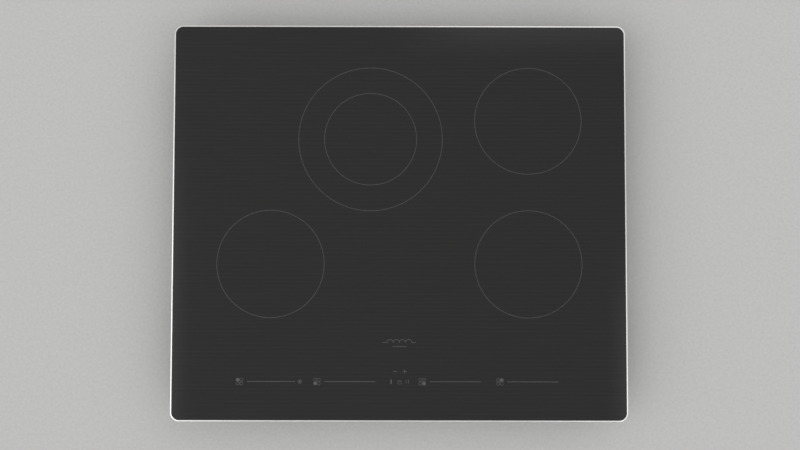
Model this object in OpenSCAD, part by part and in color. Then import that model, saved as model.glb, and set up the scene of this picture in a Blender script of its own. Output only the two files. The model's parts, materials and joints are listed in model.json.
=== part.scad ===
// Built-in induction cooktop, 60 cm class, with a steel rim round a glass-ceramic top.
// The origin is the centre of the rim's seat, on the worktop plane. +X is right, +Y is back, +Z is up.

/* [Rim] */
// Width of the rim over its outer faces
rim_w = 590; // [585:1:600]
// Depth of the rim over its outer faces
rim_d = 515; // [510:1:525]
// Outer radius of the rim's corners
rim_r = 12; // [9:0.5:14]
// Width of the rim as seen from above
rim_wall = 2; // [1.6:0.1:2.4]
// Height of the rim's top above the glass
rim_proud = 0.4; // [0.2:0.1:0.8]

/* [Glass] */
// Thickness of the glass-ceramic plate
glass_t = 4; // [3.8:0.1:4.5]
// Width of the sealant joint between the glass and the rim
joint_w = 0.8; // [0.5:0.1:1]

/* [Tray] */
// Outer width of the tray, which passes through a 560 mm cut-out
tray_w = 552; // [550:1:554]
// Outer depth of the tray, which passes through a 490 mm cut-out
tray_d = 482; // [480:1:484]
// Depth of the tray below the worktop plane
tray_h = 50; // [50:1:54]
// Thickness of the tray's steel sheet
sheet = 1; // [0.8:0.1:1]

/* [Cooking zones] */
// Printed diameter of the three single zones
single_d = 139; // [136:1:145]
// Printed diameter of the dual zone's outer ring
dual_outer_d = 187; // [180:1:190]
// Printed diameter of the dual zone's inner ring
dual_inner_d = 120; // [116:1:124]
// Distance of the left and right zones from the centre line
zone_x = 167; // [164:1:170]
// Position of the two front zones along the depth
front_y = -54.5; // [-58:0.5:-50]
// Position of the rear right zone along the depth
rear_y = 132; // [128:1:136]
// Position of the dual zone across the width
dual_x = -38; // [-42:1:-34]
// Position of the dual zone along the depth
dual_y = 108; // [104:1:110]
// Width of the printed ring lines
ring_line = 0.5; // [0.4:0.1:1.2]

/* [Controls] */
// Position of the row of sliders along the depth
control_y = -206; // [-209:0.5:-204]
// Length of a slider line
slider_l = 66; // [60:1:68]
// Width of a slider line
slider_line = 0.7; // [0.5:0.1:1.5]

/* [Worktop clamps] */
// Length of a clamp arm from its screw to its tip
arm_l = 36; // [32:1:38]
// Width of a clamp arm
arm_w = 12; // [10:1:12]

/* [Fans] */
// Radius of a fan impeller
impeller_r = 36; // [33:0.5:37]
// Number of blades on a fan impeller
blade_count = 30; // [20:1:36]

/* [Hidden] */
$fn = 64;
eps = 0.01;
print_t = 0.05;

// Heights, measured from the worktop plane
gasket_t = 1.5;
flange_t = 1;
bond_t = 0.5;
flange_z = gasket_t;
glass_z = flange_z + flange_t + bond_t;
glass_top_z = glass_z + glass_t;
rim_top_z = glass_top_z + rim_proud;
rim_skirt_z = 0.5;
floor_z = -tray_h + sheet;
plate_t = 1;
plate_z = -13;
plate_top_z = plate_z + plate_t;
mica_t = 0.6;
winding_top_z = glass_z - mica_t;
wire_d = 3.6;
former_t = 1.4;
former_z = winding_top_z - wire_d - former_t;
ferrite_t = 4.5;
board_t = 1.6;
board_z = floor_z + 8;
board_top_z = board_z + board_t;
touch_board_z = -8.6;
touch_top_z = touch_board_z + board_t;

// Outlines
glass_w = rim_w - 2 * (rim_wall + joint_w);
glass_d = rim_d - 2 * (rim_wall + joint_w);
glass_r = rim_r - rim_wall - joint_w;
flange_inner_w = tray_w - 4;
flange_inner_d = tray_d - 4;
gasket_inset = 3;
gasket_w = 8;
tray_r = 8;
plate_front = -160;
plate_back = 236;

// Clamp pockets in the tray's side walls
pocket_y = 150;
pocket_l = 50;
pocket_in = 14;
pocket_top_z = plate_z - sheet;
clamp_x = tray_w / 2 - pocket_in / 2;
clamp_y = 168;
clamp_screw_r = 2.5;
clamp_bore_r = 2.55;
clamp_head_r = 4.4;
clamp_head_z = -tray_h + 0.1;
clamp_head_t = 2.3;
nut_z = clamp_head_z + clamp_head_t + 0.1;
nut_t = 4;
nut_side = 8;
arm_z = nut_z + nut_t;
arm_t = 2;
arm_tip_h = 5;
corners = [[-1, -1], [1, -1], [-1, 1], [1, 1]];

// Frame tabs and the screws that hold the tray to them
tab_w = 20;
tab_bottom_z = -12;
tab_screw_z = -6;
side_tab_y = 80;
end_tab_x = 180;
tab_hole_r = 1.7;

// Screws: [head radius, head height, shank radius], and the holes that they pass
small_screw = [3, 1.8, 1.5];
tray_screw = [3.4, 1.9, 1.6];
clear_r = 1.8;
snug_r = 1.6;
recess_l = 4;
recess_w = 0.9;
recess_h = 1.2;

// Coils: [x, y, inner radius, outer radius, direction of the leads]
single_ri = 20;
single_ro = single_d / 2 - 3.5;
dual_mid_r = dual_inner_d / 2;
dual_ro = dual_outer_d / 2 - 2.5;
former_edge = 2;
front_left = [-zone_x, front_y, single_ri, single_ro, 215];
front_right = [zone_x, front_y, single_ri, single_ro, -35];
rear_right = [zone_x, rear_y, single_ri, single_ro, 215];
dual = [dual_x, dual_y, single_ri, dual_ro, 225];
all_coils = [front_left, front_right, rear_right, dual];
dual_gap = 3;
bar_count = 8;
bar_w = 12;
bar_start = 24;
hub_r = 13;
hub_bore_r = 11;
ear_out = 8;
ear_r = 6;
ear_angles = [67.5, 180, 292.5];
ear_hole_r = 2.8;
spring_post_r = 2.6;
spring_post_h = 3;
spring_r = 4.2;
spring_wire_r = 0.5;
spring_turns = 3;

// Wires. A route is a list of [distance, height] in the vertical plane of its direction.
lead_r = 1.5;
lead_side = 7;
lead_drop = 9;
lead_hole_r = 2.2;
lead_slot_l = 24;
lead_slot_w = 10;
mains_wire_r = 1.6;
signal_wire_r = 0.7;
terminal_jumper = [[0, -29], [1.2, -29], [2.4, -29], [5, -30.6], [6, -33.5], [6, -36], [6, -39.4]];
board_feed = [
  [0, -39.4], [0, -36], [0, -34], [2, -30], [8, -28], [30, -27], [54, -28], [60, -30], [62, -34],
  [62, -36], [62, -39.4]
];
front_sensor_route = [
  [0, -7.1], [0, -10], [0, -14], [3, -20], [14, -24], [26, -28], [30, -34], [30, -36], [30, -39.4]
];
dual_sensor_route = [
  [0, -7.1], [0, -10], [0, -13], [4, -18], [20, -21], [50, -23], [58, -28], [60, -34], [60, -36], [60, -39.4]
];
rear_sensor_route = [
  [0, -7.1], [0, -9], [0, -12], [4, -15.2], [12, -16], [44, -16], [62, -20], [80, -28], [85, -34],
  [85, -36], [85, -39.4]
];
fan_route = [
  [0, -22.5], [0, -20.5], [0, -18.9], [1.6, -17.8], [6, -17.6], [30, -17.8], [68, -17.8], [78, -20.5],
  [86, -29], [90, -34], [90, -36], [90, -39.4]
];

// Power electronics
board_x = 152;
board_y = -25;
board_w = 170;
board_d = 250;
board_hole_x = 78;
board_hole_y = 118;
heatsink_w = 46;
heatsink_l = 150;
heatsink_h = 24;
heatsink_y = 20;
transistor_t = 5;
filter_w = 100;
filter_d = 90;
filter_y = 145;
filter_hole_x = 45;
filter_hole_y = 40;
spacer_r = 4;
terminal_y = 212;
terminal_w = 104;
terminal_d = 44;
terminal_pitch = 13;
hatch_w = 92;
hatch_d = 32;
hatch_rim = 6;
hatch_screw_x = hatch_w / 2 + hatch_rim;
hatch_screw_r = 1.4;
hatch_head_r = 2.8;
gland_x = 30;
gland_z = -34;
gland_hole_r = 8;
gland_bore_r = 5.5;

// Fans
fan_x = 190;
fan_y = 165;
scroll_wall = 1.6;
scroll_from = 235;
scroll_to = 540;
scroll_gap = 4;
scroll_growth = 14;
scroll_base_t = 1.5;
scroll_h = 30;
outlet_y = -58;
outlet_x = [-56, -14];
scroll_ear_r = 5;
ear_h = 6;
inlet_r = 30;
cover_z = floor_z + scroll_h - scroll_base_t;
motor_r = 12.5;
motor_h = 13.5;
fan_lead_r = 9;
shaft_r = 1.5;
shaft_bore_r = 1.55;

// Touch controls. A zone key is [its x, index of its solid dot, x where its slider starts].
key_dot_d = 4.5;
key_dot_pitch = 4.6;
key_dot_line = 0.5;
dual_key_x = -128.2;
zone_keys = [[-205.7, 0, -196], [-106, 2, -96.8], [29.6, 3, 39.2], [129.7, 1, 139.1]];
minus_x = -5.6;
plus_x = 6.9;
central_keys_x = [-10.5, 0.1, 10.2];
timer_y = control_y + 13.2;
sign_y = -155.9;
holder_w = 446;
holder_d = 50;
holder_y = -205;
holder_post_x = [-210, -70, 70, 210];
ribbon_x = -188;
ribbon_w = 16;

// ---------- Shared shapes ----------

module rounded_rect(w, d, r) {
  square([w - 2 * r, d], center = true);
  square([w, d - 2 * r], center = true);
  for (sx = [-1, 1], sy = [-1, 1])
    translate([sx * (w / 2 - r), sy * (d / 2 - r)]) circle(r = r);
}

module slab(w, d, r, z, h) {
  translate([0, 0, z]) linear_extrude(h) rounded_rect(w, d, r);
}

// A flat ring between two rounded rectangles
module frame_ring(w, d, r, inner_w, inner_d, inner_r, z, h) {
  translate([0, 0, z]) linear_extrude(h) difference() {
    rounded_rect(w, d, r);
    rounded_rect(inner_w, inner_d, inner_r);
  }
}

module tube(r, bore, z, h) {
  translate([0, 0, z]) difference() {
    cylinder(r = r, h = h);
    translate([0, 0, -1]) cylinder(r = bore, h = h + 2);
  }
}

module post(r, z, h) {
  translate([0, 0, z]) cylinder(r = r, h = h);
}

// A slot with round ends, along X
module slot(l, w) {
  square([l - w, w], center = true);
  for (s = [-1, 1]) translate([s * (l - w) / 2, 0]) circle(d = w, $fn = 24);
}

module circle_line(d, line) {
  difference() {
    circle(d = d + line);
    circle(d = d - line);
  }
}

// A block standing on z, centred in X and Y
module block(size, z = 0) {
  translate([-size.x / 2, -size.y / 2, z]) cube(size);
}

module left_or_right(side) {
  if (side < 0) mirror([1, 0, 0]) children();
  else children();
}

module at_coil(c) {
  translate([c[0], c[1], 0]) children();
}

// Turns the pieces of a coil so that +X points along its leads
module along_leads(c) {
  rotate([0, 0, c[4]]) children();
}

function unit(v) = v / norm(v);
function heading(p, i) = unit(p[min(i + 1, len(p) - 1)] - p[max(i - 1, 0)]);
function spline_at(p, i, t) =
  let (a = p[max(i - 1, 0)], b = p[i], c = p[i + 1], d = p[min(i + 2, len(p) - 1)])
  0.5 * (2 * b + (c - a) * t + (2 * a - 5 * b + 4 * c - d) * t * t + (3 * b - a - 3 * c + d) * t * t * t);
function spline(p, steps) =
  [for (i = [0 : len(p) - 2], k = [0 : steps - 1]) spline_at(p, i, k / steps), p[len(p) - 1]];

// A round tube along points; up is never parallel to the route
module sweep(points, r, sides, up) {
  last = len(points) - 1;
  rings = [
    for (i = [0 : last])
      let (t = heading(points, i), u = unit(cross(up, t)), v = cross(t, u))
      for (k = [0 : sides - 1])
        points[i] + r * (cos(360 * k / sides) * u + sin(360 * k / sides) * v)
  ];
  sides_of = [
    for (i = [0 : last - 1], k = [0 : sides - 1])
      let (a = i * sides + k, b = i * sides + (k + 1) % sides)
      each [[a, a + sides, b + sides], [a, b + sides, b]]
  ];
  ends = [[for (k = [0 : sides - 1]) k], [for (k = [sides - 1 : -1 : 0]) last * sides + k]];
  polyhedron(rings, concat(sides_of, ends));
}

// ---------- Glass, rim and seals ----------

module glass_top() {
  color([0.06, 0.06, 0.065]) slab(glass_w, glass_d, glass_r, glass_z, glass_t);
}

module frame_tabs() {
  tab_h = flange_z - tab_bottom_z + eps;
  for (s = [-1, 1]) {
    for (y = [-side_tab_y, side_tab_y])
      translate([s * (flange_inner_w / 2 + 0.5), y, tab_bottom_z]) difference() {
        block([1, tab_w, tab_h]);
        translate([0, 0, tab_screw_z - tab_bottom_z])
          rotate([0, 90, 0]) cylinder(r = tab_hole_r, h = 4, center = true);
      }
    for (x = [-end_tab_x, end_tab_x])
      translate([x, s * (flange_inner_d / 2 + 0.5), tab_bottom_z]) difference() {
        block([tab_w, 1, tab_h]);
        translate([0, 0, tab_screw_z - tab_bottom_z])
          rotate([90, 0, 0]) cylinder(r = tab_hole_r, h = 4, center = true);
      }
  }
}

module trim_frame() {
  inner_w = rim_w - 2 * rim_wall;
  inner_d = rim_d - 2 * rim_wall;
  inner_r = rim_r - rim_wall;
  color([0.78, 0.78, 0.77]) union() {
    frame_ring(rim_w, rim_d, rim_r, inner_w, inner_d, inner_r, rim_skirt_z, rim_top_z - rim_skirt_z);
    frame_ring(rim_w - 2, rim_d - 2, rim_r - 1, flange_inner_w, flange_inner_d, 4, flange_z, flange_t);
    frame_tabs();
  }
}

module glass_adhesive() {
  recess = 0.5;
  bead_w = 14;
  outer_w = rim_w - 2 * rim_wall;
  outer_d = rim_d - 2 * rim_wall;
  color([0.02, 0.02, 0.02]) union() {
    frame_ring(outer_w, outer_d, rim_r - rim_wall, glass_w, glass_d, glass_r,
      flange_z + flange_t, glass_z + glass_t - recess - flange_z - flange_t);
    frame_ring(outer_w, outer_d, rim_r - rim_wall, glass_w - 2 * bead_w, glass_d - 2 * bead_w, 4,
      flange_z + flange_t, bond_t);
  }
}

module worktop_gasket() {
  w = rim_w - 2 * gasket_inset;
  d = rim_d - 2 * gasket_inset;
  color([0.12, 0.12, 0.12])
    frame_ring(w, d, rim_r - gasket_inset, w - 2 * gasket_w, d - 2 * gasket_w, 3, 0, gasket_t);
}

// ---------- Printed markings ----------

// A ring for each zone, with a solid dot for the key's own zone
module zone_key_print(solid_dot) {
  for (i = [0 : 3])
    translate([(i % 2 - 0.5) * key_dot_pitch, (0.5 - floor(i / 2)) * key_dot_pitch])
      if (i == solid_dot) circle(d = key_dot_d, $fn = 32);
      else circle_line(key_dot_d - key_dot_line, key_dot_line, $fn = 32);
}

// The first slider is shorter, which leaves room for the key of the dual zone
function slider_length(i) = i == 0 ? slider_l - 4 : slider_l;

module bar_print(l, w) {
  square([l, w], center = true);
}

module padlock_print() {
  translate([0, -1.4]) difference() {
    bar_print(5, 3.4);
    bar_print(4.2, 2.6);
  }
  translate([0, 0.3]) difference() {
    circle_line(3.4, 0.4, $fn = 32);
    translate([-3, -6]) square(6);
  }
}

// The plain schematic sign of an inductor: four arches between two leads
module inductor_print() {
  arch_d = 8;
  lead_l = 5.5;
  line = 0.6;
  for (i = [-1.5 : 1.5]) translate([i * arch_d, 0]) difference() {
    circle_line(arch_d, line, $fn = 48);
    translate([-arch_d, -2 * arch_d]) square(2 * arch_d);
  }
  for (s = [-1, 1])
    translate([s * (2 * arch_d + lead_l / 2), line / 2]) bar_print(lead_l + line, line);
  translate([0, -5]) bar_print(18, line);
}

module printed_markings() {
  color([0.45, 0.45, 0.45]) translate([0, 0, glass_top_z]) linear_extrude(print_t) {
    for (c = [front_left, front_right, rear_right])
      translate([c[0], c[1]]) circle_line(single_d, ring_line);
    translate([dual_x, dual_y]) {
      circle_line(dual_outer_d, ring_line);
      circle_line(dual_inner_d, ring_line);
    }
    for (i = [0 : 3]) {
      translate([zone_keys[i][0], control_y]) zone_key_print(zone_keys[i][1]);
      translate([zone_keys[i][2] + slider_length(i) / 2, control_y]) bar_print(slider_length(i), slider_line);
    }
    translate([dual_key_x, control_y]) {
      circle_line(4.7, 0.5, $fn = 48);
      circle(d = 2.4, $fn = 32);
    }
    translate([minus_x, timer_y]) bar_print(5, 0.7);
    translate([plus_x, timer_y]) {
      bar_print(4.8, 0.7);
      bar_print(0.7, 4.8);
    }
    translate([central_keys_x[0], control_y]) bar_print(1.5, 5.6);
    translate([central_keys_x[1], control_y]) padlock_print();
    for (s = [-1, 1]) translate([central_keys_x[2] + s * 1.5, control_y]) bar_print(0.6, 4.6);
    translate([0, sign_y]) inductor_print();
  }
}

// ---------- Tray ----------

module clamp_pocket(sx, sy, grow) {
  reach = grow > 0 ? 0 : 2;
  translate([sx * (tray_w / 2 - pocket_in - grow + (pocket_in + grow + reach) / 2), sy * pocket_y, 0])
    block([pocket_in + grow + reach, pocket_l + 2 * grow, pocket_top_z + tray_h + grow + (grow > 0 ? 0 : 1)],
      -tray_h - (grow > 0 ? 0 : 1));
}

// Rows of slots that fill a circle, each row split by a web
module fan_grille() {
  pitch = 6.5;
  web = 5;
  for (row = [-4 : 4]) {
    half = sqrt(inlet_r * inlet_r - pow(row * pitch, 2));
    for (s = [-1, 1]) translate([s * (half + web / 2) / 2, row * pitch]) slot(half - web / 2, 3.4);
  }
}

module upright_slots(count, pitch, l, z) {
  for (i = [0 : count - 1])
    translate([(i - (count - 1) / 2) * pitch, 0, z]) rotate([90, 0, 0])
      linear_extrude(6, center = true) rotate([0, 0, 90]) slot(l, 3);
}

module tray_vents() {
  for (s = [-1, 1]) {
    translate([s * fan_x, fan_y, -tray_h - 1]) linear_extrude(sheet + 2) fan_grille();
    translate([s * board_x, -tray_d / 2, 0]) upright_slots(16, 8, 18, -30);
    translate([s * board_x, tray_d / 2, 0]) upright_slots(9, 8, 14, -28);
    for (i = [-4 : 4])
      translate([s * board_x + i * 12, -205, -tray_h - 1]) linear_extrude(sheet + 2)
        rotate([0, 0, 90]) slot(26, 3.4);
  }
}

// Stiffening ribs pressed up into the tray's floor
module floor_rib(l, w, z, h) {
  translate([0, 0, z]) linear_extrude(h) slot(l, w);
}

module floor_ribs(w, z, h) {
  for (x = [-190, -114, -38, 38, 114, 190])
    translate([x, -80, 0]) rotate([0, 0, 90]) floor_rib(150, w, z, h);
  for (x = [-150, 0, 150]) translate([x, 70, 0]) floor_rib(100, w, z, h);
}

// The step in the floor that takes the terminal cover flush
module hatch_step(grow, z, h) {
  slab(hatch_w + 4 * hatch_rim + 2 * grow, hatch_d + 2 * hatch_rim + 2 * grow, 4 + grow, z, h);
}

module tray_screw_holes() {
  for (s = [-1, 1]) {
    for (y = [-side_tab_y, side_tab_y]) translate([s * tray_w / 2, y, tab_screw_z])
      rotate([0, 90, 0]) cylinder(r = tab_hole_r + 0.1, h = 6, center = true);
    for (x = [-end_tab_x, end_tab_x]) translate([x, s * tray_d / 2, tab_screw_z])
      rotate([90, 0, 0]) cylinder(r = tab_hole_r + 0.1, h = 6, center = true);
  }
}

module base_tray() {
  color([0.66, 0.68, 0.7]) difference() {
    union() {
      difference() {
        slab(tray_w, tray_d, tray_r, -tray_h, tray_h + flange_z);
        slab(tray_w - 2 * sheet, tray_d - 2 * sheet, tray_r - sheet, floor_z, tray_h + flange_z);
      }
      for (c = corners) clamp_pocket(c.x, c.y, sheet);
      floor_ribs(10, floor_z - eps, sheet + eps);
      translate([0, terminal_y, 0]) hatch_step(1, floor_z - eps, sheet + eps);
    }
    for (c = corners) {
      clamp_pocket(c.x, c.y, 0);
      translate([c.x * clamp_x, c.y * clamp_y, pocket_top_z - 1]) cylinder(r = clamp_bore_r, h = sheet + 2);
    }
    floor_ribs(8, -tray_h - 1, sheet + 1);
    translate([0, terminal_y, 0]) {
      hatch_step(0, -tray_h - 1, sheet + 1);
      slab(hatch_w, hatch_d, 3, -tray_h - 1, 4);
    }
    tray_vents();
    tray_screw_holes();
    translate([gland_x, tray_d / 2, gland_z]) rotate([90, 0, 0])
      cylinder(r = gland_hole_r, h = 8, center = true);
    for (p = floor_screw_points()) translate([p.x, p.y, 0]) post(clear_r, -tray_h - 1, sheet + 2);
    for (p = plate_screw_points()) translate([p.x, p.y, 0]) post(snug_r, pocket_top_z - 1, sheet + 2);
    for (s = [-1, 1]) translate([s * hatch_screw_x, terminal_y, 0]) post(snug_r, -tray_h - 1, sheet + 2);
  }
}

// ---------- Coils ----------

module coil_plate() {
  h = plate_back - plate_front;
  lip_w = 500;
  lip_h = 9;
  sensor_hole_r = 9;
  color([0.8, 0.81, 0.83]) difference() {
    union() {
      translate([0, (plate_back + plate_front) / 2, plate_z])
        linear_extrude(plate_t) rounded_rect(tray_w - 8, h, 6);
      translate([0, plate_front + plate_t / 2, plate_z - lip_h]) block([lip_w, plate_t, lip_h + eps]);
      for (c = all_coils) at_coil(c) along_leads(c)
        for (a = ear_angles) rotate([0, 0, a]) translate([c[3] + ear_out, 0, 0])
          tube(spring_post_r, tab_hole_r, plate_top_z - eps, spring_post_h + eps);
    }
    for (c = all_coils) at_coil(c) {
      post(sensor_hole_r, plate_z - 1, plate_t + 2);
      along_leads(c) translate([c[3] + lead_drop, 0, plate_z - 1])
        linear_extrude(plate_t + 2) rotate([0, 0, 90]) slot(lead_slot_l, lead_slot_w);
    }
    for (p = plate_screw_points()) translate([p.x, p.y, 0]) post(clear_r, plate_z - 1, plate_t + 2);
  }
}

module coil_former(c) {
  ro = c[3] + former_edge;
  edge_t = 1.4;
  edge_h = 2.4;
  hub_h = 3;
  rail_t = 1;
  rail_h = 3;
  color([0.86, 0.85, 0.8]) at_coil(c) along_leads(c) difference() {
    union() {
      tube(ro, hub_bore_r, former_z, former_t);
      tube(ro, ro - edge_t, former_z, former_t + edge_h);
      tube(hub_r, hub_bore_r, former_z - ferrite_t, ferrite_t + former_t + hub_h);
      for (i = [0 : bar_count - 1], s = [-1, 1]) rotate([0, 0, (i + 0.5) * 360 / bar_count])
        translate([bar_start, s * (bar_w + rail_t) / 2 - rail_t / 2, former_z - rail_h])
          cube([c[3] - bar_start, rail_t, rail_h + eps]);
      for (a = ear_angles) rotate([0, 0, a]) {
        translate([c[3] - 2, -ear_r, former_z]) cube([ear_out + 2, 2 * ear_r, former_t]);
        translate([c[3] + ear_out, 0, 0]) post(ear_r, former_z, former_t);
      }
    }
    for (a = ear_angles) rotate([0, 0, a]) translate([c[3] + ear_out, 0, 0])
      post(ear_hole_r, former_z - 1, former_t + 2);
    translate([c[3] - 1, -9, former_z - 5]) cube([8, 18, 12]);
    for (p = lead_starts(c)) translate([p.x, p.y, 0]) post(lead_hole_r, former_z - 1, former_t + 2);
  }
}

// Flat winding: each turn of stranded wire is a ridge of the same ring
module winding(x, y, ri, ro) {
  turns = floor((ro - ri) / (wire_d + 0.4));
  pitch = (ro - ri - wire_d) / (turns - 1);
  color([0.72, 0.4, 0.2]) translate([x, y, winding_top_z - wire_d / 2]) rotate_extrude() {
    for (i = [0 : turns - 1]) translate([ri + wire_d / 2 + i * pitch, 0]) circle(d = wire_d, $fn = 24);
    translate([ri + wire_d / 2, -wire_d / 2]) square([ro - ri - wire_d, wire_d / 2]);
  }
}

module ferrite_bars() {
  color([0.2, 0.2, 0.21]) for (c = all_coils) at_coil(c) along_leads(c)
    for (i = [0 : bar_count - 1]) rotate([0, 0, (i + 0.5) * 360 / bar_count])
      translate([bar_start, -bar_w / 2, former_z - ferrite_t]) cube([c[3] - bar_start - 1, bar_w, ferrite_t]);
}

module mica_sheets() {
  color([0.8, 0.78, 0.7]) for (c = all_coils) at_coil(c) tube(c[3] + 1.5, 8, winding_top_z, mica_t);
}

module temperature_sensors() {
  color([0.9, 0.9, 0.88]) for (c = all_coils) at_coil(c) {
    post(hub_bore_r - 0.05, former_z - ferrite_t, 1.5);
    post(7, former_z - ferrite_t + 1.5 - eps, 7);
    post(4.5, former_z - ferrite_t + 8.5 - 2 * eps, glass_z - former_z + ferrite_t - 8.5 + 2 * eps);
  }
}

function helix(r, h, turns, steps) =
  [for (i = [0 : steps * turns]) let (a = 360 * i / steps) [r * cos(a), r * sin(a), h * i / (steps * turns)]];

module coil_springs() {
  bottom = plate_top_z + spring_wire_r;
  height = former_z - plate_top_z - 2 * spring_wire_r;
  color([0.75, 0.75, 0.76]) for (c = all_coils) at_coil(c) along_leads(c)
    for (a = ear_angles) rotate([0, 0, a]) translate([c[3] + ear_out, 0, bottom])
      sweep(helix(spring_r, height, spring_turns, 12), spring_wire_r, 5, [0, 0, 1]);
}

// A wire in the vertical plane of its direction
module wire(route, r) {
  sweep(spline([for (p = route) [p.x, 0, p.y]], 2), r, 6, [0, 1, 0]);
}

// Where the leads that pass down through a former begin, with +X along the leads
function lead_starts(c) = concat(
  [[c[2] + wire_d / 2, 0]],
  c[3] == dual_ro
    ? [[dual_mid_r - dual_gap - wire_d / 2, -lead_side / 2], [dual_mid_r + dual_gap + wire_d / 2, -lead_side]]
    : []
);

module winding_leads(c) {
  drop = c[3] + lead_drop;
  mid_z = winding_top_z - wire_d / 2;
  low_z = former_z - 3;
  translate([0, lead_side, 0])
    wire([[c[3], mid_z], [c[3] + 3, mid_z], [drop - 2, mid_z - 2], [drop, -5], [drop, -13], [drop, -26],
      [drop, board_top_z]], lead_r);
  for (p = lead_starts(c)) translate([0, p.y, 0])
    wire([[p.x, mid_z - wire_d / 2], [p.x, former_z + 0.6], [p.x, former_z - 0.6], [p.x + 1.6, low_z],
      [p.x + 5, low_z],
      [c[3] - 2, low_z], [drop - 2, low_z - 1.5], [drop, -10], [drop, -14], [drop, -26],
      [drop, board_top_z]], lead_r);
}

module coil_leads() {
  color([0.85, 0.3, 0.15]) for (c = all_coils) at_coil(c) along_leads(c) winding_leads(c);
}

module signal_leads() {
  color([0.9, 0.9, 0.88]) {
    for (c = [front_left, front_right])
      at_coil(c) rotate([0, 0, -90]) wire(front_sensor_route, signal_wire_r);
    at_coil(dual) rotate([0, 0, 235]) wire(dual_sensor_route, signal_wire_r);
    at_coil(rear_right) rotate([0, 0, 205]) wire(rear_sensor_route, signal_wire_r);
    for (s = [-1, 1])
      at_fan(s) rotate([0, 0, 225]) translate([fan_lead_r, 0, 0]) wire(fan_route, signal_wire_r);
  }
}

module mains_wires() {
  color([0.15, 0.3, 0.7]) {
    for (x = [-30, -20, -10]) translate([x, terminal_y - terminal_d / 2, 0])
      rotate([0, 0, -90]) wire(terminal_jumper, mains_wire_r);
    for (s = [-1, 1], side = [-1, 1]) left_or_right(s) translate([30, 112, 0])
      rotate([0, 0, -32]) translate([0, 3 * side, 0]) wire(board_feed, mains_wire_r);
  }
}

// ---------- Power electronics ----------

function board_points() = [for (x = [-1, 1], y = [-1, 0, 1]) [x * board_hole_x, y * board_hole_y]];
function filter_points() = [for (x = [-1, 1], y = [-1, 1]) [x * filter_hole_x, y * filter_hole_y]];
function spacer_points() = concat(
  [for (s = [-1, 1], p = board_points()) [s * board_x + p.x, board_y + p.y]],
  [for (p = filter_points()) [p.x, filter_y + p.y]]
);

// Ears of the fan scrolls, in a fan's own frame
function ear_points() = [for (a = [400, 320])
  (scroll_radius(a) + scroll_wall + scroll_ear_r - 1.6) * [cos(a), sin(a)]];
function fan_screw_points() = [for (s = [-1, 1], p = ear_points()) [s * (fan_x + p.x), fan_y + p.y]];
function floor_screw_points() = concat(spacer_points(), fan_screw_points());
function plate_screw_points() = [for (c = corners) [c.x * (clamp_x - 1), c.y * 140]];

module power_board(side) {
  color([0.05, 0.3, 0.15]) left_or_right(side) translate([board_x, board_y, board_z]) difference() {
    block([board_w, board_d, board_t]);
    for (p = board_points()) translate([p.x, p.y, 0]) post(clear_r, -1, board_t + 2);
  }
}

// An extruded section with a thick side wall for the transistors and fins beside it
module heatsink(side) {
  base_t = 3;
  fin_t = 1.4;
  fins = 7;
  wall = 5;
  color([0.72, 0.73, 0.75]) left_or_right(side)
    translate([board_x, heatsink_y + heatsink_l / 2, board_top_z]) rotate([90, 0, 0])
      linear_extrude(heatsink_l) {
        translate([-heatsink_w / 2, 0]) square([heatsink_w, base_t]);
        translate([heatsink_w / 2 - wall, 0]) square([wall, heatsink_h]);
        for (i = [0 : fins - 1])
          translate([-heatsink_w / 2 + i * (heatsink_w - wall) / fins, 0]) square([fin_t, heatsink_h]);
      }
}

module transistor(w) {
  leg_h = 4;
  block([w, transistor_t, 18], leg_h);
  for (x = [-1, 0, 1]) translate([x * w / 4, 0, 0]) block([1.2, 0.8, leg_h + eps]);
}

// Four transistors in a row against each heatsink, then the wider bridge rectifier
module power_transistors() {
  pitch = 28;
  first_y = heatsink_y - 60;
  color([0.1, 0.1, 0.1]) for (s = [-1, 1], i = [0 : 4])
    left_or_right(s) translate([board_x + (heatsink_w + transistor_t) / 2, first_y + i * pitch, board_top_z])
      rotate([0, 0, 90]) transistor(i == 4 ? 22 : 16);
}

module film_capacitors() {
  resonant = [20, 30, 21];
  smoothing = [18, 32, 20];
  suppressor = [32, 18, 20];
  small_suppressor = [26, 12, 16];
  gap = 4;
  color([0.1, 0.25, 0.55]) {
    for (s = [-1, 1]) left_or_right(s) translate([board_x, board_y, board_top_z]) {
      for (i = [0 : 3]) translate([-63, 60 - i * (resonant.y + gap), 0]) block(resonant);
      for (i = [0 : 1]) translate([60, -20 - i * (smoothing.y + gap), 0]) block(smoothing);
    }
    translate([-22, filter_y + 20, board_top_z]) block(suppressor);
    translate([-22, filter_y - 8, board_top_z]) block(small_suppressor);
  }
}

// A ring core with its turns of wire, standing on a board. The turns leave a gap where they end.
module choke(core_r, core_w, core_h, turns) {
  turn_t = 1.4;
  wound_angle = 330;
  tube(core_r + core_w / 2, core_r - core_w / 2, turn_t, core_h);
  for (i = [0 : turns - 1]) rotate([0, 0, i * wound_angle / turns])
    translate([core_r, 0, 0]) block([core_w + 2 * turn_t, 1.2, core_h + 2 * turn_t]);
}

module filter_chokes() {
  color([0.75, 0.45, 0.2]) {
    for (s = [-1, 1]) left_or_right(s) for (x = [-52, -10])
      translate([board_x + x, board_y - 96, board_top_z]) choke(12, 8, 12, 16);
    translate([22, filter_y + 12, board_top_z]) choke(13, 8, 14, 18);
  }
}

module mains_filter_board() {
  color([0.05, 0.3, 0.15]) translate([0, filter_y, board_z]) difference() {
    block([filter_w, filter_d, board_t]);
    for (p = filter_points()) translate([p.x, p.y, 0]) post(clear_r, -1, board_t + 2);
  }
}

module board_spacers() {
  color([0.92, 0.92, 0.9]) for (p = spacer_points())
    translate([p.x, p.y, 0]) tube(spacer_r, snug_r, floor_z, board_z - floor_z);
}

// ---------- Fans ----------

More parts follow.
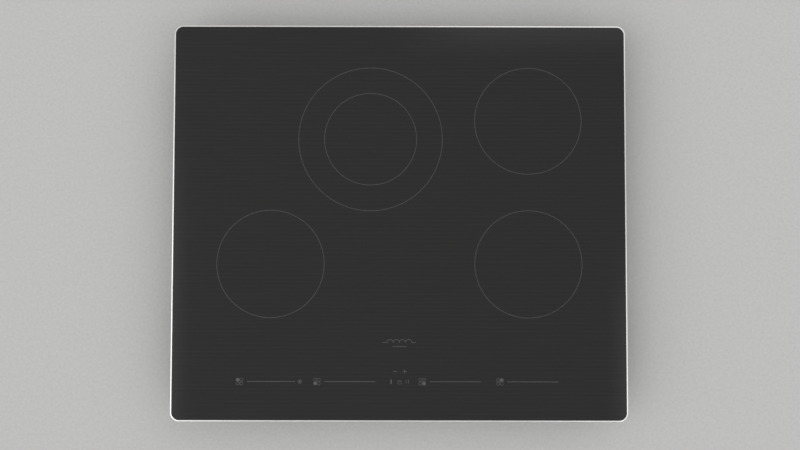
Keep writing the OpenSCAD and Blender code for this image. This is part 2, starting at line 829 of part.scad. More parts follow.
// The scroll's wall runs away from the impeller, from its tongue to the outlet
function scroll_radius(a) =
  impeller_r + scroll_gap + scroll_growth * (a - scroll_from) / (scroll_to - scroll_from);
function scroll_points(grow, mouth) = concat(
  [for (a = [scroll_from : 5 : scroll_to]) (scroll_radius(a) + grow) * [cos(a), sin(a)]],
  [[outlet_x[0] - grow, outlet_y - mouth], [outlet_x[1] + grow, outlet_y - mouth]]
);

module at_fan(side) {
  left_or_right(side) translate([fan_x, fan_y, 0]) children();
}

module fan_scrolls() {
  color([0.12, 0.12, 0.13]) for (s = [-1, 1]) at_fan(s) difference() {
    union() {
      translate([0, 0, floor_z]) linear_extrude(scroll_h - scroll_base_t)
        polygon(scroll_points(scroll_wall, 0));
      for (p = ear_points()) translate([p.x, p.y, 0]) post(scroll_ear_r, floor_z, ear_h);
    }
    translate([0, 0, floor_z + scroll_base_t]) linear_extrude(scroll_h) polygon(scroll_points(0, 1));
    post(inlet_r - 1, floor_z - 1, 4);
    for (p = ear_points()) translate([p.x, p.y, 0]) post(snug_r, floor_z - 1, ear_h + 2);
  }
}

module fan_covers() {
  color([0.12, 0.12, 0.13]) for (s = [-1, 1]) at_fan(s) difference() {
    translate([0, 0, cover_z]) linear_extrude(scroll_base_t) polygon(scroll_points(scroll_wall, 0));
    for (a = [45 : 90 : 315]) rotate([0, 0, a]) translate([fan_lead_r, 0, 0]) post(1.4, cover_z - 1, 4);
  }
}

module impeller_blade(top, bottom) {
  translate([0, 0, bottom]) linear_extrude(top - bottom) polygon([
    [impeller_r - 9, -0.6], [impeller_r - 4.5, 0.6], [impeller_r - 0.4, 3.4],
    [impeller_r - 0.8, 4.4], [impeller_r - 4.9, 1.7], [impeller_r - 9.3, 0.3]
  ]);
}

module fan_impeller(side) {
  top = cover_z - 2;
  bottom = floor_z + scroll_base_t + 2;
  cup_r = motor_r + 4.5;
  cup_t = 2;
  cup_h = 16;
  disc_t = 1.4;
  color([0.2, 0.2, 0.21]) at_fan(side) union() {
    tube(impeller_r, cup_r - cup_t, top - disc_t, disc_t);
    tube(cup_r, cup_r - cup_t, top - cup_h, cup_h);
    tube(cup_r, shaft_r, top - cup_h, 1.6);
    tube(4, shaft_r, top - cup_h - 2, 2 + eps);
    tube(impeller_r, impeller_r - 1.6, bottom, 1.5);
    for (i = [0 : blade_count - 1]) rotate([0, 0, i * 360 / blade_count]) impeller_blade(top - 1, bottom + 1);
  }
}

module fan_motor(side) {
  color([0.3, 0.3, 0.32]) at_fan(side) difference() {
    union() {
      post(motor_r, cover_z - motor_h, motor_h - 2);
      post(6, cover_z - 2 - eps, 2 + eps);
      for (a = [0 : 60 : 300]) rotate([0, 0, a]) translate([motor_r - 1, 0, cover_z - motor_h + 1])
        block([3, 6, motor_h - 4]);
    }
    post(shaft_bore_r, cover_z - motor_h - 1, motor_h - 1);
  }
}

module fan_shaft(side) {
  color([0.8, 0.8, 0.82]) at_fan(side) post(shaft_r, cover_z - 20, 16);
}

// ---------- Touch controls ----------

function slider_pads() = [
  for (k = zone_keys, i = [0 : 5]) [k[2] + 4 + i * (slider_l - 12) / 5, control_y]
];
function key_pads() = concat(
  [for (k = zone_keys) [k[0], control_y]],
  [[dual_key_x, control_y], [minus_x, timer_y], [plus_x, timer_y]],
  [for (x = central_keys_x) [x, control_y]]
);

module touch_board() {
  color([0.05, 0.3, 0.15]) translate([0, holder_y, touch_board_z]) difference() {
    block([holder_w - 8, holder_d - 8, board_t]);
    for (x = holder_post_x) translate([x, 17, 0]) post(clear_r, -1, board_t + 2);
  }
}

module touch_springs() {
  pad_r = 2.4;
  pad_bore_r = 1.6;
  color([0.8, 0.78, 0.6]) for (p = concat(slider_pads(), key_pads()))
    translate([p.x, p.y, 0]) tube(pad_r, pad_bore_r, touch_top_z, glass_z - touch_top_z);
}

// Seven-segment displays behind the sliders; their three level bars are cut into the face
module led_displays() {
  body = [12, 9, 7];
  bar = [4, 0.6, 0.4];
  display_y = control_y + 15.5;
  color([0.08, 0.08, 0.08]) for (x = [-160, -60, 24, 80, 175])
    translate([x, display_y, touch_top_z]) difference() {
      block(body);
      for (y = [-2.6, 0, 2.6]) translate([0, y, 0]) block(bar, body.z - bar.z / 2);
    }
}

module touch_board_holder() {
  wall = 1.8;
  base_z = touch_board_z - 3;
  color([0.15, 0.15, 0.16]) translate([0, holder_y, 0]) union() {
    difference() {
      translate([0, 0, base_z]) block([holder_w, holder_d, glass_z - 1 - base_z]);
      translate([0, 0, base_z + wall]) block([holder_w - 2 * wall, holder_d - 2 * wall, 40]);
      for (x = [-190 : 38 : 190]) translate([x, -4, base_z - 1]) block([24, 20, 5]);
      translate([ribbon_x, 12.5, base_z - 1]) block([ribbon_w + 4, 5, 5]);
    }
    for (x = holder_post_x, y = [-20, 20])
      translate([x, y, 0]) post(3.2, base_z + wall - eps, touch_board_z - base_z - wall + eps);
    for (x = [-215, -72, 72, 215], y = [-20, 20])
      translate([x, y, 0]) post(3, floor_z, base_z - floor_z + eps);
  }
}

module ribbon_cable() {
  t = 1;
  y0 = holder_y + 12;
  color([0.7, 0.7, 0.72]) translate([ribbon_x, 0, 0]) rotate([90, 0, 90])
    linear_extrude(ribbon_w, center = true) polygon([
      [y0, touch_board_z], [y0 + t, touch_board_z], [y0 + t, -22], [y0 + 14, -33],
      [y0 + 58, -34], [y0 + 58, board_top_z], [y0 + 57, board_top_z], [y0 + 57, -35],
      [y0 + 13.6, -34], [y0, -22.4]
    ]);
}

// ---------- Mains terminals ----------

// The moulding over the hatch: a box with the terminals hanging from its roof, and a cable entry at its back
module terminal_block() {
  wall = 2;
  base_z = floor_z + sheet;
  roof_z = -22;
  row_z = -38;
  row_y = -7;
  boss_h = 10;
  color([0.9, 0.9, 0.88]) translate([0, terminal_y, 0]) difference() {
    union() {
      difference() {
        slab(terminal_w, terminal_d, 3, base_z, roof_z + wall - base_z);
        slab(terminal_w - 2 * wall, terminal_d - 2 * wall, 2, base_z - 1, roof_z - base_z + 1);
      }
      translate([0, row_y, row_z]) block([6 * terminal_pitch, 16, roof_z - row_z + eps]);
      for (s = [-1, 1]) translate([s * hatch_screw_x, 0, 0]) post(4, base_z, boss_h);
    }
    for (i = [-2.5 : 2.5]) translate([i * terminal_pitch, row_y, 0]) {
      translate([0, -3, row_z - 1]) cylinder(r = 3.6, h = 9);
      translate([0, 3, row_z + 5]) rotate([-90, 0, 0]) cylinder(r = 2.6, h = 8);
    }
    translate([gland_x, 0, gland_z]) rotate([-90, 0, 0]) cylinder(r = gland_hole_r + 0.5, h = terminal_d);
    for (s = [-1, 1]) translate([s * hatch_screw_x, 0, 0]) post(hatch_screw_r + 0.05, base_z - 1, boss_h);
  }
}

module terminal_screws() {
  color([0.8, 0.7, 0.35]) for (i = [-2.5 : 2.5])
    translate([i * terminal_pitch, terminal_y - 10, -37]) difference() {
      cylinder(r = 3.5, h = 7);
      translate([0, 0, -1]) block([8, 0.9, 2]);
    }
}

module terminal_cover() {
  gap = 0.4;
  play = 0.3;
  color([0.66, 0.68, 0.7]) translate([0, terminal_y, 0]) difference() {
    slab(hatch_w + 4 * hatch_rim - gap, hatch_d + 2 * hatch_rim - gap, 4 - gap / 2, -tray_h, sheet);
    for (s = [-1, 1]) translate([s * hatch_screw_x, 0, -tray_h]) {
      cylinder(r1 = hatch_head_r + play, r2 = hatch_screw_r + play, h = sheet);
      post(hatch_screw_r + play, -1, 3);
      post(hatch_head_r + play, -1, 1 + eps);
    }
  }
}

module cable_gland() {
  flange_r = 11;
  stem_l = 13;
  nut_r = 11.5;
  nut_h = 4;
  color([0.1, 0.1, 0.1]) translate([gland_x, tray_d / 2, gland_z]) rotate([-90, 0, 0]) difference() {
    union() {
      post(flange_r, 0, 3);
      post(gland_hole_r - 0.1, -stem_l, stem_l + eps);
      translate([0, 0, -sheet - nut_h]) cylinder(r = nut_r, h = nut_h, $fn = 6);
    }
    post(gland_bore_r, -stem_l - 1, stem_l + 7);
  }
}

// ---------- Worktop clamps ----------

module at_clamp(c) {
  translate([c.x * clamp_x, c.y * clamp_y, 0]) children();
}

module clamp_arm(c) {
  color([0.75, 0.76, 0.78]) at_clamp(c) rotate([0, 0, -90 * c.y]) difference() {
    union() {
      post(arm_w / 2, arm_z, arm_t);
      translate([0, -arm_w / 2, arm_z]) cube([arm_l, arm_w, arm_t]);
      translate([arm_l - 2, -arm_w / 2, arm_z]) cube([2, arm_w, arm_tip_h]);
    }
    post(clamp_bore_r, arm_z - 1, arm_t + 2);
    for (y = [-3, 0, 3]) translate([arm_l - 1, y, arm_z + arm_tip_h]) rotate([0, 90, 0])
      cylinder(r = 0.9, h = 4, center = true);
  }
}

module clamp_nut(c) {
  color([0.8, 0.78, 0.7]) at_clamp(c) translate([0, 0, nut_z]) difference() {
    block([nut_side, nut_side, nut_t]);
    translate([0, 0, -1]) cylinder(r = clamp_bore_r, h = nut_t + 2);
  }
}

module cross_recess(z) {
  for (a = [0, 90]) rotate([0, 0, a]) block([recess_l, recess_w, recess_h], z);
}

module clamp_screws() {
  color([0.78, 0.76, 0.7]) for (c = corners) at_clamp(c) difference() {
    union() {
      post(clamp_head_r, clamp_head_z, clamp_head_t);
      post(clamp_screw_r, clamp_head_z + clamp_head_t - eps, plate_z - clamp_head_z - clamp_head_t - 0.2);
    }
    cross_recess(clamp_head_z - 0.1);
  }
}

// ---------- Fasteners ----------

// A pan-head screw whose head sits on z = 0 and whose shank points down
module pan_screw(screw, shank_l) {
  difference() {
    union() {
      post(screw[0], 0, screw[1]);
      post(screw[2], -shank_l, shank_l + eps);
    }
    cross_recess(screw[1] - 1);
  }
}

module tray_screws() {
  color([0.78, 0.78, 0.8]) for (s = [-1, 1]) {
    for (y = [-side_tab_y, side_tab_y]) translate([s * tray_w / 2, y, tab_screw_z])
      rotate([0, s * 90, 0]) pan_screw(tray_screw, 6);
    for (x = [-end_tab_x, end_tab_x]) translate([x, s * tray_d / 2, tab_screw_z])
      rotate([-s * 90, 0, 0]) pan_screw(tray_screw, 6);
  }
}

module inner_screws() {
  color([0.78, 0.78, 0.8]) {
    for (p = spacer_points()) translate([p.x, p.y, board_top_z]) pan_screw(small_screw, 8);
    for (p = fan_screw_points()) translate([p.x, p.y, floor_z + ear_h]) pan_screw(small_screw, ear_h);
    for (p = plate_screw_points()) translate([p.x, p.y, plate_top_z]) pan_screw(small_screw, 4);
    for (s = [-1, 1]) translate([s * hatch_screw_x, terminal_y, -tray_h + 0.1]) difference() {
      union() {
        cylinder(r1 = hatch_head_r, r2 = hatch_screw_r, h = sheet);
        post(hatch_screw_r, sheet - eps, 8);
      }
      cross_recess(-0.6);
    }
  }
}

glass_top();
trim_frame();
glass_adhesive();
worktop_gasket();
printed_markings();
base_tray();
coil_plate();
coil_former(front_left);  // coil_former_front_left
coil_former(dual);  // coil_former_rear_centre
coil_former(rear_right);  // coil_former_rear_right
coil_former(front_right);  // coil_former_front_right
winding(front_left[0], front_left[1], single_ri, single_ro);  // coil_winding_front_left
winding(dual_x, dual_y, single_ri, dual_mid_r - dual_gap);  // coil_winding_rear_inner
winding(dual_x, dual_y, dual_mid_r + dual_gap, dual_ro);  // coil_winding_rear_outer
winding(rear_right[0], rear_right[1], single_ri, single_ro);  // coil_winding_rear_right
winding(front_right[0], front_right[1], single_ri, single_ro);  // coil_winding_front_right
ferrite_bars();
mica_sheets();
temperature_sensors();
coil_springs();
coil_leads();
signal_leads();
mains_wires();
power_board(-1);  // power_board_left
power_board(1);  // power_board_right
heatsink(-1);  // heatsink_left
heatsink(1);  // heatsink_right
power_transistors();
film_capacitors();
filter_chokes();
mains_filter_board();
board_spacers();
fan_scrolls();
fan_covers();
fan_impeller(-1);  // fan_impeller_left
fan_impeller(1);  // fan_impeller_right
fan_motor(-1);  // fan_motor_left
fan_motor(1);  // fan_motor_right
fan_shaft(-1);  // fan_shaft_left
fan_shaft(1);  // fan_shaft_right
touch_board();
touch_springs();
led_displays();
touch_board_holder();
ribbon_cable();
terminal_block();
terminal_screws();
terminal_cover();
cable_gland();
clamp_arm(corners[0]);  // clamp_arm_front_left
clamp_arm(corners[1]);  // clamp_arm_front_right
clamp_arm(corners[2]);  // clamp_arm_rear_left
clamp_arm(corners[3]);  // clamp_arm_rear_right
clamp_nut(corners[0]);  // clamp_nut_front_left
clamp_nut(corners[1]);  // clamp_nut_front_right
clamp_nut(corners[2]);  // clamp_nut_rear_left
clamp_nut(corners[3]);  // clamp_nut_rear_right
clamp_screws();
tray_screws();
inner_screws();
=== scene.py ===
"""The looks of a built-in induction cooktop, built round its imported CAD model.

Blender's own lengths are in metres. Shapes are worked out in millimetres, and piece() makes them in metres.
"""
import json
from math import asin, copysign, cos, pi, radians, sin, sqrt

import bmesh
import bpy
from mathutils import Matrix, Vector
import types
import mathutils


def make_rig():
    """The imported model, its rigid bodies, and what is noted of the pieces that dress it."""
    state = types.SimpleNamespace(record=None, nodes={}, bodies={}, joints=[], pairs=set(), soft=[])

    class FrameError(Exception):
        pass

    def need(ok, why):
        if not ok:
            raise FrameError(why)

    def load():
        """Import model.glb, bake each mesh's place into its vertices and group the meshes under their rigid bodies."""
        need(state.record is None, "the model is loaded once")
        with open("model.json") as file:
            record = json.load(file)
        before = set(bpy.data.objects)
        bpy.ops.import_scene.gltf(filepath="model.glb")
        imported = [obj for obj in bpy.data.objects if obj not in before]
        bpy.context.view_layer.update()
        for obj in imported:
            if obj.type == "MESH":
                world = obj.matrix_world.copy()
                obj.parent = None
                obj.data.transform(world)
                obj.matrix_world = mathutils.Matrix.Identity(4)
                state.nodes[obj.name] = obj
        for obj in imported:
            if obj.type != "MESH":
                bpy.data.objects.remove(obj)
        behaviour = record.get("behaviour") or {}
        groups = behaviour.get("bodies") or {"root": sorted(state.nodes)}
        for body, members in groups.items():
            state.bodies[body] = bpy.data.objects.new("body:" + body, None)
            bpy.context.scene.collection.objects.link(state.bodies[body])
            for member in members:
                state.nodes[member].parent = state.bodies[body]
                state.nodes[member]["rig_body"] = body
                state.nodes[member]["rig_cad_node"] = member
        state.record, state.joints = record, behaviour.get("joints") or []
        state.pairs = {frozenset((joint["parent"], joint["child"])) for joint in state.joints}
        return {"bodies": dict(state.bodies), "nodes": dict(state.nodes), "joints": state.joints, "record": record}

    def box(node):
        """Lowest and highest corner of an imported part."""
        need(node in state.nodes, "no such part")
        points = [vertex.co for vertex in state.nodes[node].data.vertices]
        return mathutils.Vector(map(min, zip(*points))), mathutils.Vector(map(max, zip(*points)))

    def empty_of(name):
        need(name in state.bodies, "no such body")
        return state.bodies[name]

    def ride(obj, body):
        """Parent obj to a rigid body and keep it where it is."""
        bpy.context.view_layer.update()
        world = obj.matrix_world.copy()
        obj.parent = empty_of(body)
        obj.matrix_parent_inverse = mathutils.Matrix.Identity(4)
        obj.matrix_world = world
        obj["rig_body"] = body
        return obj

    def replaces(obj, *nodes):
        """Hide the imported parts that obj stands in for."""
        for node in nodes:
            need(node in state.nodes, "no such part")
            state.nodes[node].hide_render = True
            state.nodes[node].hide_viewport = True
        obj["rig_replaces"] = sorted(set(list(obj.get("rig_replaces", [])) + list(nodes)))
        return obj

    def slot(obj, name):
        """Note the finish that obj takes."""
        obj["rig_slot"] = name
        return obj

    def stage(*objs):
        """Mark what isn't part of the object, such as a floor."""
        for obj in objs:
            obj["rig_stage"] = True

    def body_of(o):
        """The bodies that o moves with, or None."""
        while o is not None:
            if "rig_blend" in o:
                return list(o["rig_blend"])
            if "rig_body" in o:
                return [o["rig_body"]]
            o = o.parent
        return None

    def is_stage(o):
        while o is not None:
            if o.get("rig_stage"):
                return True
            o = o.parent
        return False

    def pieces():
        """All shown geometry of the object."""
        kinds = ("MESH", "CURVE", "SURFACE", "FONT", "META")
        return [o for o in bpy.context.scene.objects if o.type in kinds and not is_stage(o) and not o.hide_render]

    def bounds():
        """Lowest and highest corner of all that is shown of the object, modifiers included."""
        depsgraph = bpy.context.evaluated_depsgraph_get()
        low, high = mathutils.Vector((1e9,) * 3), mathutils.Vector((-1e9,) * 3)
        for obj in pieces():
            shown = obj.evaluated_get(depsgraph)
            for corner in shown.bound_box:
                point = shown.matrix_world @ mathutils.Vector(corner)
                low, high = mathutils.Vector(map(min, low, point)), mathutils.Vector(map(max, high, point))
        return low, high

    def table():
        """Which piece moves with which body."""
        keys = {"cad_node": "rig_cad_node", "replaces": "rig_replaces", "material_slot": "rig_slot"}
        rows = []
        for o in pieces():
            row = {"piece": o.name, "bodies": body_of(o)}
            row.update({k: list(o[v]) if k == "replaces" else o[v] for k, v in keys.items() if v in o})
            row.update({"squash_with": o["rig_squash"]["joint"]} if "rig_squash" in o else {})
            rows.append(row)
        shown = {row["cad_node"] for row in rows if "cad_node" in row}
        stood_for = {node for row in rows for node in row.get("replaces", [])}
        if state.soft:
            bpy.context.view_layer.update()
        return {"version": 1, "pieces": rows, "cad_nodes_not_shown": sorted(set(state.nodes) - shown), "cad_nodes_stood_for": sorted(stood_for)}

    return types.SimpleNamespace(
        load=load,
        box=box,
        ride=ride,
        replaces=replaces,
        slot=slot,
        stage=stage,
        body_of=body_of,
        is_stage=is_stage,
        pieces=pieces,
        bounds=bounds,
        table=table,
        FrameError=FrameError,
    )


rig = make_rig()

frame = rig.load()
cad_low, cad_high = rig.bounds()

MM = 0.001
# Spacing of the faint lines that rolling leaves across the glass, in metres
ROLLING_PITCH = 0.0053
# Stretch of a pattern into lines along one axis, or into none
ALONG_X, ALONG_Y, ALONG_Z, ANY_WAY = (0.012, 1, 1), (1, 0.012, 1), (1, 1, 0.012), (1, 1, 1)


# ---------- Materials ----------


class Nodes:
    """Short calls that add to a node tree."""

    prefix = "ShaderNode"

    def __init__(self, tree):
        self.tree = tree

    def set(self, node, values):
        for socket, value in values.items():
            if isinstance(value, bpy.types.NodeSocket):
                self.tree.links.new(value, node.inputs[socket])
            else:
                node.inputs[socket].default_value = value

    def node(self, kind, values=None, **settings):
        made = self.tree.nodes.new(self.prefix + kind)
        for setting, value in settings.items():
            setattr(made, setting, value)
        self.set(made, values or {})
        return made

    def math(self, operation, a, b=0.0):
        return self.node("Math", {0: a, 1: b}, operation=operation).outputs[0]

    def plus(self, a, b):
        return self.math("ADD", a, b)

    def times(self, a, b):
        return self.math("MULTIPLY", a, b)

    def between(self, factor, low, high, start=0.3, end=0.7, **settings):
        """factor, mapped from start..end to low..high."""
        values = {"Value": factor, "From Min": start, "From Max": end, "To Min": low, "To Max": high}
        return self.node("MapRange", values, **settings).outputs["Result"]


class Look(Nodes):
    """One procedural material. Patterns are placed by object coordinates, so they move with their part."""

    def __init__(self, name, **sockets):
        self.material = bpy.data.materials.new(name)
        self.material.use_nodes = True
        super().__init__(self.material.node_tree)
        self.shader = self.tree.nodes["Principled BSDF"]
        self.coordinates = self.node("TexCoord").outputs
        self.place = self.coordinates["Object"]
        self.set(self.shader, sockets)

    def stretched(self, grain, place=None):
        """The object's coordinates, scaled by a factor for each axis."""
        return self.node("Mapping", {"Vector": place or self.place, "Scale": grain}).outputs["Vector"]

    def noise(self, scale, detail=3.0, grain=ANY_WAY):
        values = {"Vector": self.stretched(grain), "Scale": scale, "Detail": detail}
        return self.node("TexNoise", values).outputs["Fac"]

    def cells(self, scale, feature="F1", output="Distance", grain=ANY_WAY, place=None, **settings):
        values = {"Vector": self.stretched(grain, place), "Scale": scale}
        return self.node("TexVoronoi", values, feature=feature, **settings).outputs[output]

    def mix(self, factor, a, b):
        values = {0: factor, 6: a, 7: b}
        for socket in (6, 7):
            if isinstance(values[socket], tuple):
                values[socket] += (1.0,)
        return self.node("Mix", values, data_type="RGBA").outputs[2]

    def colour(self, factor, dark, light, start=0.3, end=0.7):
        """The base colour, from dark to light as factor goes from start to end."""
        self.set(self.shader, {"Base Color": self.mix(self.between(factor, 0, 1, start, end), dark, light)})
        return self

    def roughness(self, factor, low, high, start=0.3, end=0.7):
        self.set(self.shader, {"Roughness": self.between(factor, low, high, start, end)})
        return self

    def bump(self, height, distance):
        """Adds to the surface's relief. distance is how far a height of 1 stands out."""
        before = self.shader.inputs["Normal"]
        values = {"Height": height, "Distance": distance}
        if before.is_linked:
            values["Normal"] = before.links[0].from_socket
        self.set(self.shader, {"Normal": self.node("Bump", values).outputs["Normal"]})
        return self


def grey(value, blue=0.0):
    return (value, value, value + blue)


def moulded(name, dark, light, rough=(0.38, 0.52), relief=0.02, grain_size=0.4):
    """An injection moulded plastic: soft flow marks in its colour and a fine spark-eroded grain."""
    look = Look(name)
    look.colour(look.noise(60, 4), dark, light)
    look.roughness(look.noise(180), *rough)
    look.bump(look.noise(1 / (grain_size * MM), 2), relief * MM)
    return look.material


def drawn_metal(name, dark, light, rough, grain, scratch=0.006):
    """A metal with fine lines along one direction, where grain holds the smallest factor."""
    look = Look(name, Metallic=1.0)
    lines = look.noise(2500, 2, grain)
    look.colour(look.plus(look.times(lines, 0.5), look.times(look.noise(30), 0.5)), dark, light)
    look.roughness(lines, *rough)
    look.bump(lines, scratch * MM)
    return look.material


def zinc_sheet():
    """Hot-dip galvanised sheet: crystals of slightly different grey and gloss, with faint rolling lines."""
    look = Look("zinc_sheet", Metallic=1.0)
    waves = look.node("TexNoise", {"Vector": look.place, "Scale": 160.0}).outputs["Color"]
    shift = look.node("VectorMath", {0: waves, 3: 0.004}, operation="SCALE").outputs[0]
    wobbled = look.node("VectorMath", {0: look.place, 1: shift}, operation="ADD").outputs[0]
    crystal = look.cells(190, output="Color", place=wobbled)
    tone = look.node("SeparateColor", {"Color": crystal}).outputs["Red"]
    feathers = look.noise(900, 2, (1, 0.15, 1))
    clouds = look.plus(look.times(feathers, 0.15), look.times(look.noise(9), 0.3))
    shade = look.plus(look.times(tone, 0.55), clouds)
    look.colour(shade, (0.46, 0.48, 0.50), (0.62, 0.64, 0.66), 0.15, 0.85)
    look.roughness(shade, 0.34, 0.50, 0.2, 0.8)
    look.bump(look.cells(190, feature="SMOOTH_F1", place=wobbled), 0.012 * MM)
    return look.bump(feathers, 0.003 * MM).material


def rim_steel():
    """Brushed stainless steel. The lines run along each side of the rim."""
    look = Look("rim_steel", Metallic=1.0)
    axes = look.node("SeparateXYZ", {"Vector": look.place})
    reach = [look.times(look.math("ABSOLUTE", axes.outputs[i]), 1 / cad_high[i]) for i in (0, 1)]
    on_side = look.math("GREATER_THAN", reach[0], reach[1])
    values = {0: on_side, 2: look.noise(3000, 2, ALONG_X), 3: look.noise(3000, 2, ALONG_Y)}
    lines = look.node("Mix", values, data_type="FLOAT").outputs[0]
    look.colour(lines, (0.60, 0.60, 0.59), (0.71, 0.71, 0.70))
    look.roughness(lines, 0.16, 0.26)
    return look.bump(lines, 0.003 * MM).material


def black_glass():
    """Black glass-ceramic: a deep tone with faint lines across it, and wiped traces in its gloss."""
    look = Look("black_glass", IOR=1.36)
    across = look.node("SeparateXYZ", {"Vector": look.place}).outputs["Y"]
    wobbled = look.plus(across, look.times(look.noise(9, 2), 0.0015))
    rolling = look.math("PINGPONG", wobbled, ROLLING_PITCH / 2)
    bands = look.plus(look.between(rolling, 0.2, 0.8, 0.0, ROLLING_PITCH / 2),
                      look.between(look.noise(420, 2, (0.03, 1, 0.03)), -0.2, 0.2))
    look.colour(bands, grey(0.0048), grey(0.0088), 0.0, 1.0)
    look.roughness(look.noise(14, 5, (1, 0.35, 1)), 0.035, 0.06)
    return look.material


def enamel_print():
    """Grey ceramic enamel, screen printed on the glass and fired, with fine pinholes."""
    look = Look("enamel_print")
    pinholes = look.noise(5200, 2)
    look.colour(pinholes, grey(0.037), grey(0.047))
    look.roughness(look.noise(900), 0.32, 0.45)
    return look.bump(pinholes, 0.004 * MM).material


def gasket_foam():
    look = Look("gasket_foam")
    pores = look.cells(2600)
    # Painted shade: the colour is darkest in the middle of each pore, where the bump sinks it
    look.colour(pores, grey(0.012), grey(0.06), 0.0, 0.6)
    look.roughness(look.noise(300), 0.8, 0.95)
    return look.bump(pores, 0.12 * MM).material


def sealant():
    look = Look("sealant")
    skin = look.noise(500, 4)
    look.colour(skin, grey(0.012), grey(0.022))
    look.roughness(skin, 0.42, 0.62)
    return look.bump(look.noise(140, 3), 0.05 * MM).material


def mica():
    """Pressed mica: overlapping pearly flakes."""
    look = Look("mica")
    flake = look.cells(240, output="Color", grain=(1, 1, 0.01))
    tone = look.node("SeparateColor", {"Color": flake}).outputs["Green"]
    look.colour(tone, (0.40, 0.35, 0.24), (0.68, 0.62, 0.48), 0.0, 1.0)
    look.roughness(tone, 0.28, 0.5, 0.0, 1.0)
    return look.bump(look.cells(240, grain=(1, 1, 0.01)), 0.02 * MM).material


def ferrite():
    look = Look("ferrite")
    grit = look.noise(2600, 5)
    look.colour(grit, grey(0.035), (0.075, 0.072, 0.07))
    look.roughness(grit, 0.5, 0.72)
    return look.bump(grit, 0.03 * MM).material


def circuit_board():
    """Green solder mask over copper tracks, which show as lighter, raised lines, and tinned pads."""
    look = Look("circuit_board", IOR=1.55)
    maze = look.cells(95, distance="CHEBYCHEV", grain=(1, 1, 0.001))
    tracks = look.math("LESS_THAN", look.math("PINGPONG", maze, 0.07), 0.03)
    dots = look.cells(210, grain=(1, 1, 0.001))
    pads = look.math("LESS_THAN", dots, 0.17)
    mask = look.mix(tracks, (0.006, 0.085, 0.032), (0.016, 0.17, 0.062))
    look.set(look.shader, {"Base Color": look.mix(pads, mask, (0.62, 0.60, 0.55)), "Metallic": pads})
    look.roughness(look.noise(600), 0.22, 0.36)
    return look.bump(look.plus(tracks, pads), 0.03 * MM).material


def strands(name, dark, light, metallic, rough, turns, slant, relief, crossed=False):
    """Threads round a tube: turns of them side by side, at a slant of so many for each mm along it."""
    look = Look(name, Metallic=metallic)
    along, around = look.node("SeparateXYZ", {"Vector": look.coordinates["UV"]}).outputs[:2]
    laid = look.times(around, float(turns))
    slope = look.times(along, slant)
    stripe = look.math("PINGPONG", look.plus(laid, slope), 0.5)
    if crossed:
        other = look.math("PINGPONG", look.math("SUBTRACT", laid, slope), 0.5)
        stripe = look.math("MAXIMUM", stripe, other)
    # Painted shade: the colour runs from the dark tone in the grooves between the threads to the light tone on their
    # crests, following the bump; on the earth wire the two tones are its own green and yellow
    look.colour(look.plus(stripe, look.times(look.noise(700), 0.3)), dark, light, 0.1, 0.6)
    look.roughness(look.noise(1200), *rough)
    return look.bump(stripe, relief * MM).material


# Dark and light tones, range of roughness, depth of the grain and its size in mm
PLASTICS = {
    "former_plastic": ((0.60, 0.57, 0.47), (0.70, 0.67, 0.57), (0.45, 0.6), 0.03),
    "sensor_plastic": (grey(0.70), grey(0.80), (0.3, 0.42), 0.01),
    "signal_wire": (grey(0.66), grey(0.78), (0.28, 0.4), 0.006),
    "mains_wire": ((0.02, 0.07, 0.30), (0.04, 0.12, 0.42), (0.3, 0.42), 0.008),
    "live_wire": ((0.10, 0.04, 0.018), (0.17, 0.07, 0.03), (0.3, 0.42), 0.008),
    "component_black": (grey(0.014), grey(0.026), (0.42, 0.6), 0.015, 0.2),
    "capacitor_case": ((0.012, 0.05, 0.22), (0.02, 0.08, 0.30), (0.24, 0.36), 0.01),
    "spacer_nylon": ((0.70, 0.69, 0.63), (0.80, 0.79, 0.74), (0.35, 0.5), 0.01),
    "fan_plastic": (grey(0.016, 0.001), grey(0.030, 0.002), (0.36, 0.52)),
    "holder_plastic": (grey(0.022, 0.001), grey(0.036, 0.002), (0.4, 0.55)),
    "ribbon": (grey(0.36), grey(0.46), (0.36, 0.48), 0.01),
    "terminal_plastic": ((0.66, 0.66, 0.62), (0.76, 0.76, 0.73), (0.34, 0.48), 0.015),
    "gland_nylon": (grey(0.018), grey(0.030)),
}
# Dark and light tones, range of roughness, direction of the lines and their depth in mm
METALS = {
    "plate_aluminium": (grey(0.66), grey(0.78, 0.01), (0.3, 0.42), ALONG_X),
    "spring_steel": (grey(0.55), grey(0.70), (0.18, 0.28), ALONG_Z),
    "heatsink_aluminium": (grey(0.58), grey(0.72, 0.01), (0.32, 0.46), ALONG_Y, 0.01),
    "choke_copper": ((0.52, 0.16, 0.05), (0.76, 0.31, 0.11), (0.14, 0.24), ANY_WAY, 0.002),
    "motor_steel": (grey(0.30), grey(0.48), (0.3, 0.45), (1, 1, 0.5), 0.02),
    "shaft_steel": (grey(0.66), grey(0.80), (0.08, 0.16), ALONG_Z, 0.001),
    "spring_brass": ((0.62, 0.46, 0.20), (0.78, 0.62, 0.32), (0.2, 0.32), ALONG_Z),
    "terminal_brass": ((0.60, 0.46, 0.20), (0.76, 0.60, 0.30), (0.22, 0.34), ALONG_X),
    "zinc_clamp": ((0.58, 0.60, 0.62), (0.72, 0.73, 0.75), (0.26, 0.4), ALONG_Y, 0.005),
    "tin": (grey(0.60, 0.01), grey(0.74, 0.01), (0.18, 0.34), ANY_WAY),
    "screw_steel": ((0.56, 0.54, 0.48), (0.72, 0.70, 0.63), (0.24, 0.36), ANY_WAY, 0.004),
}
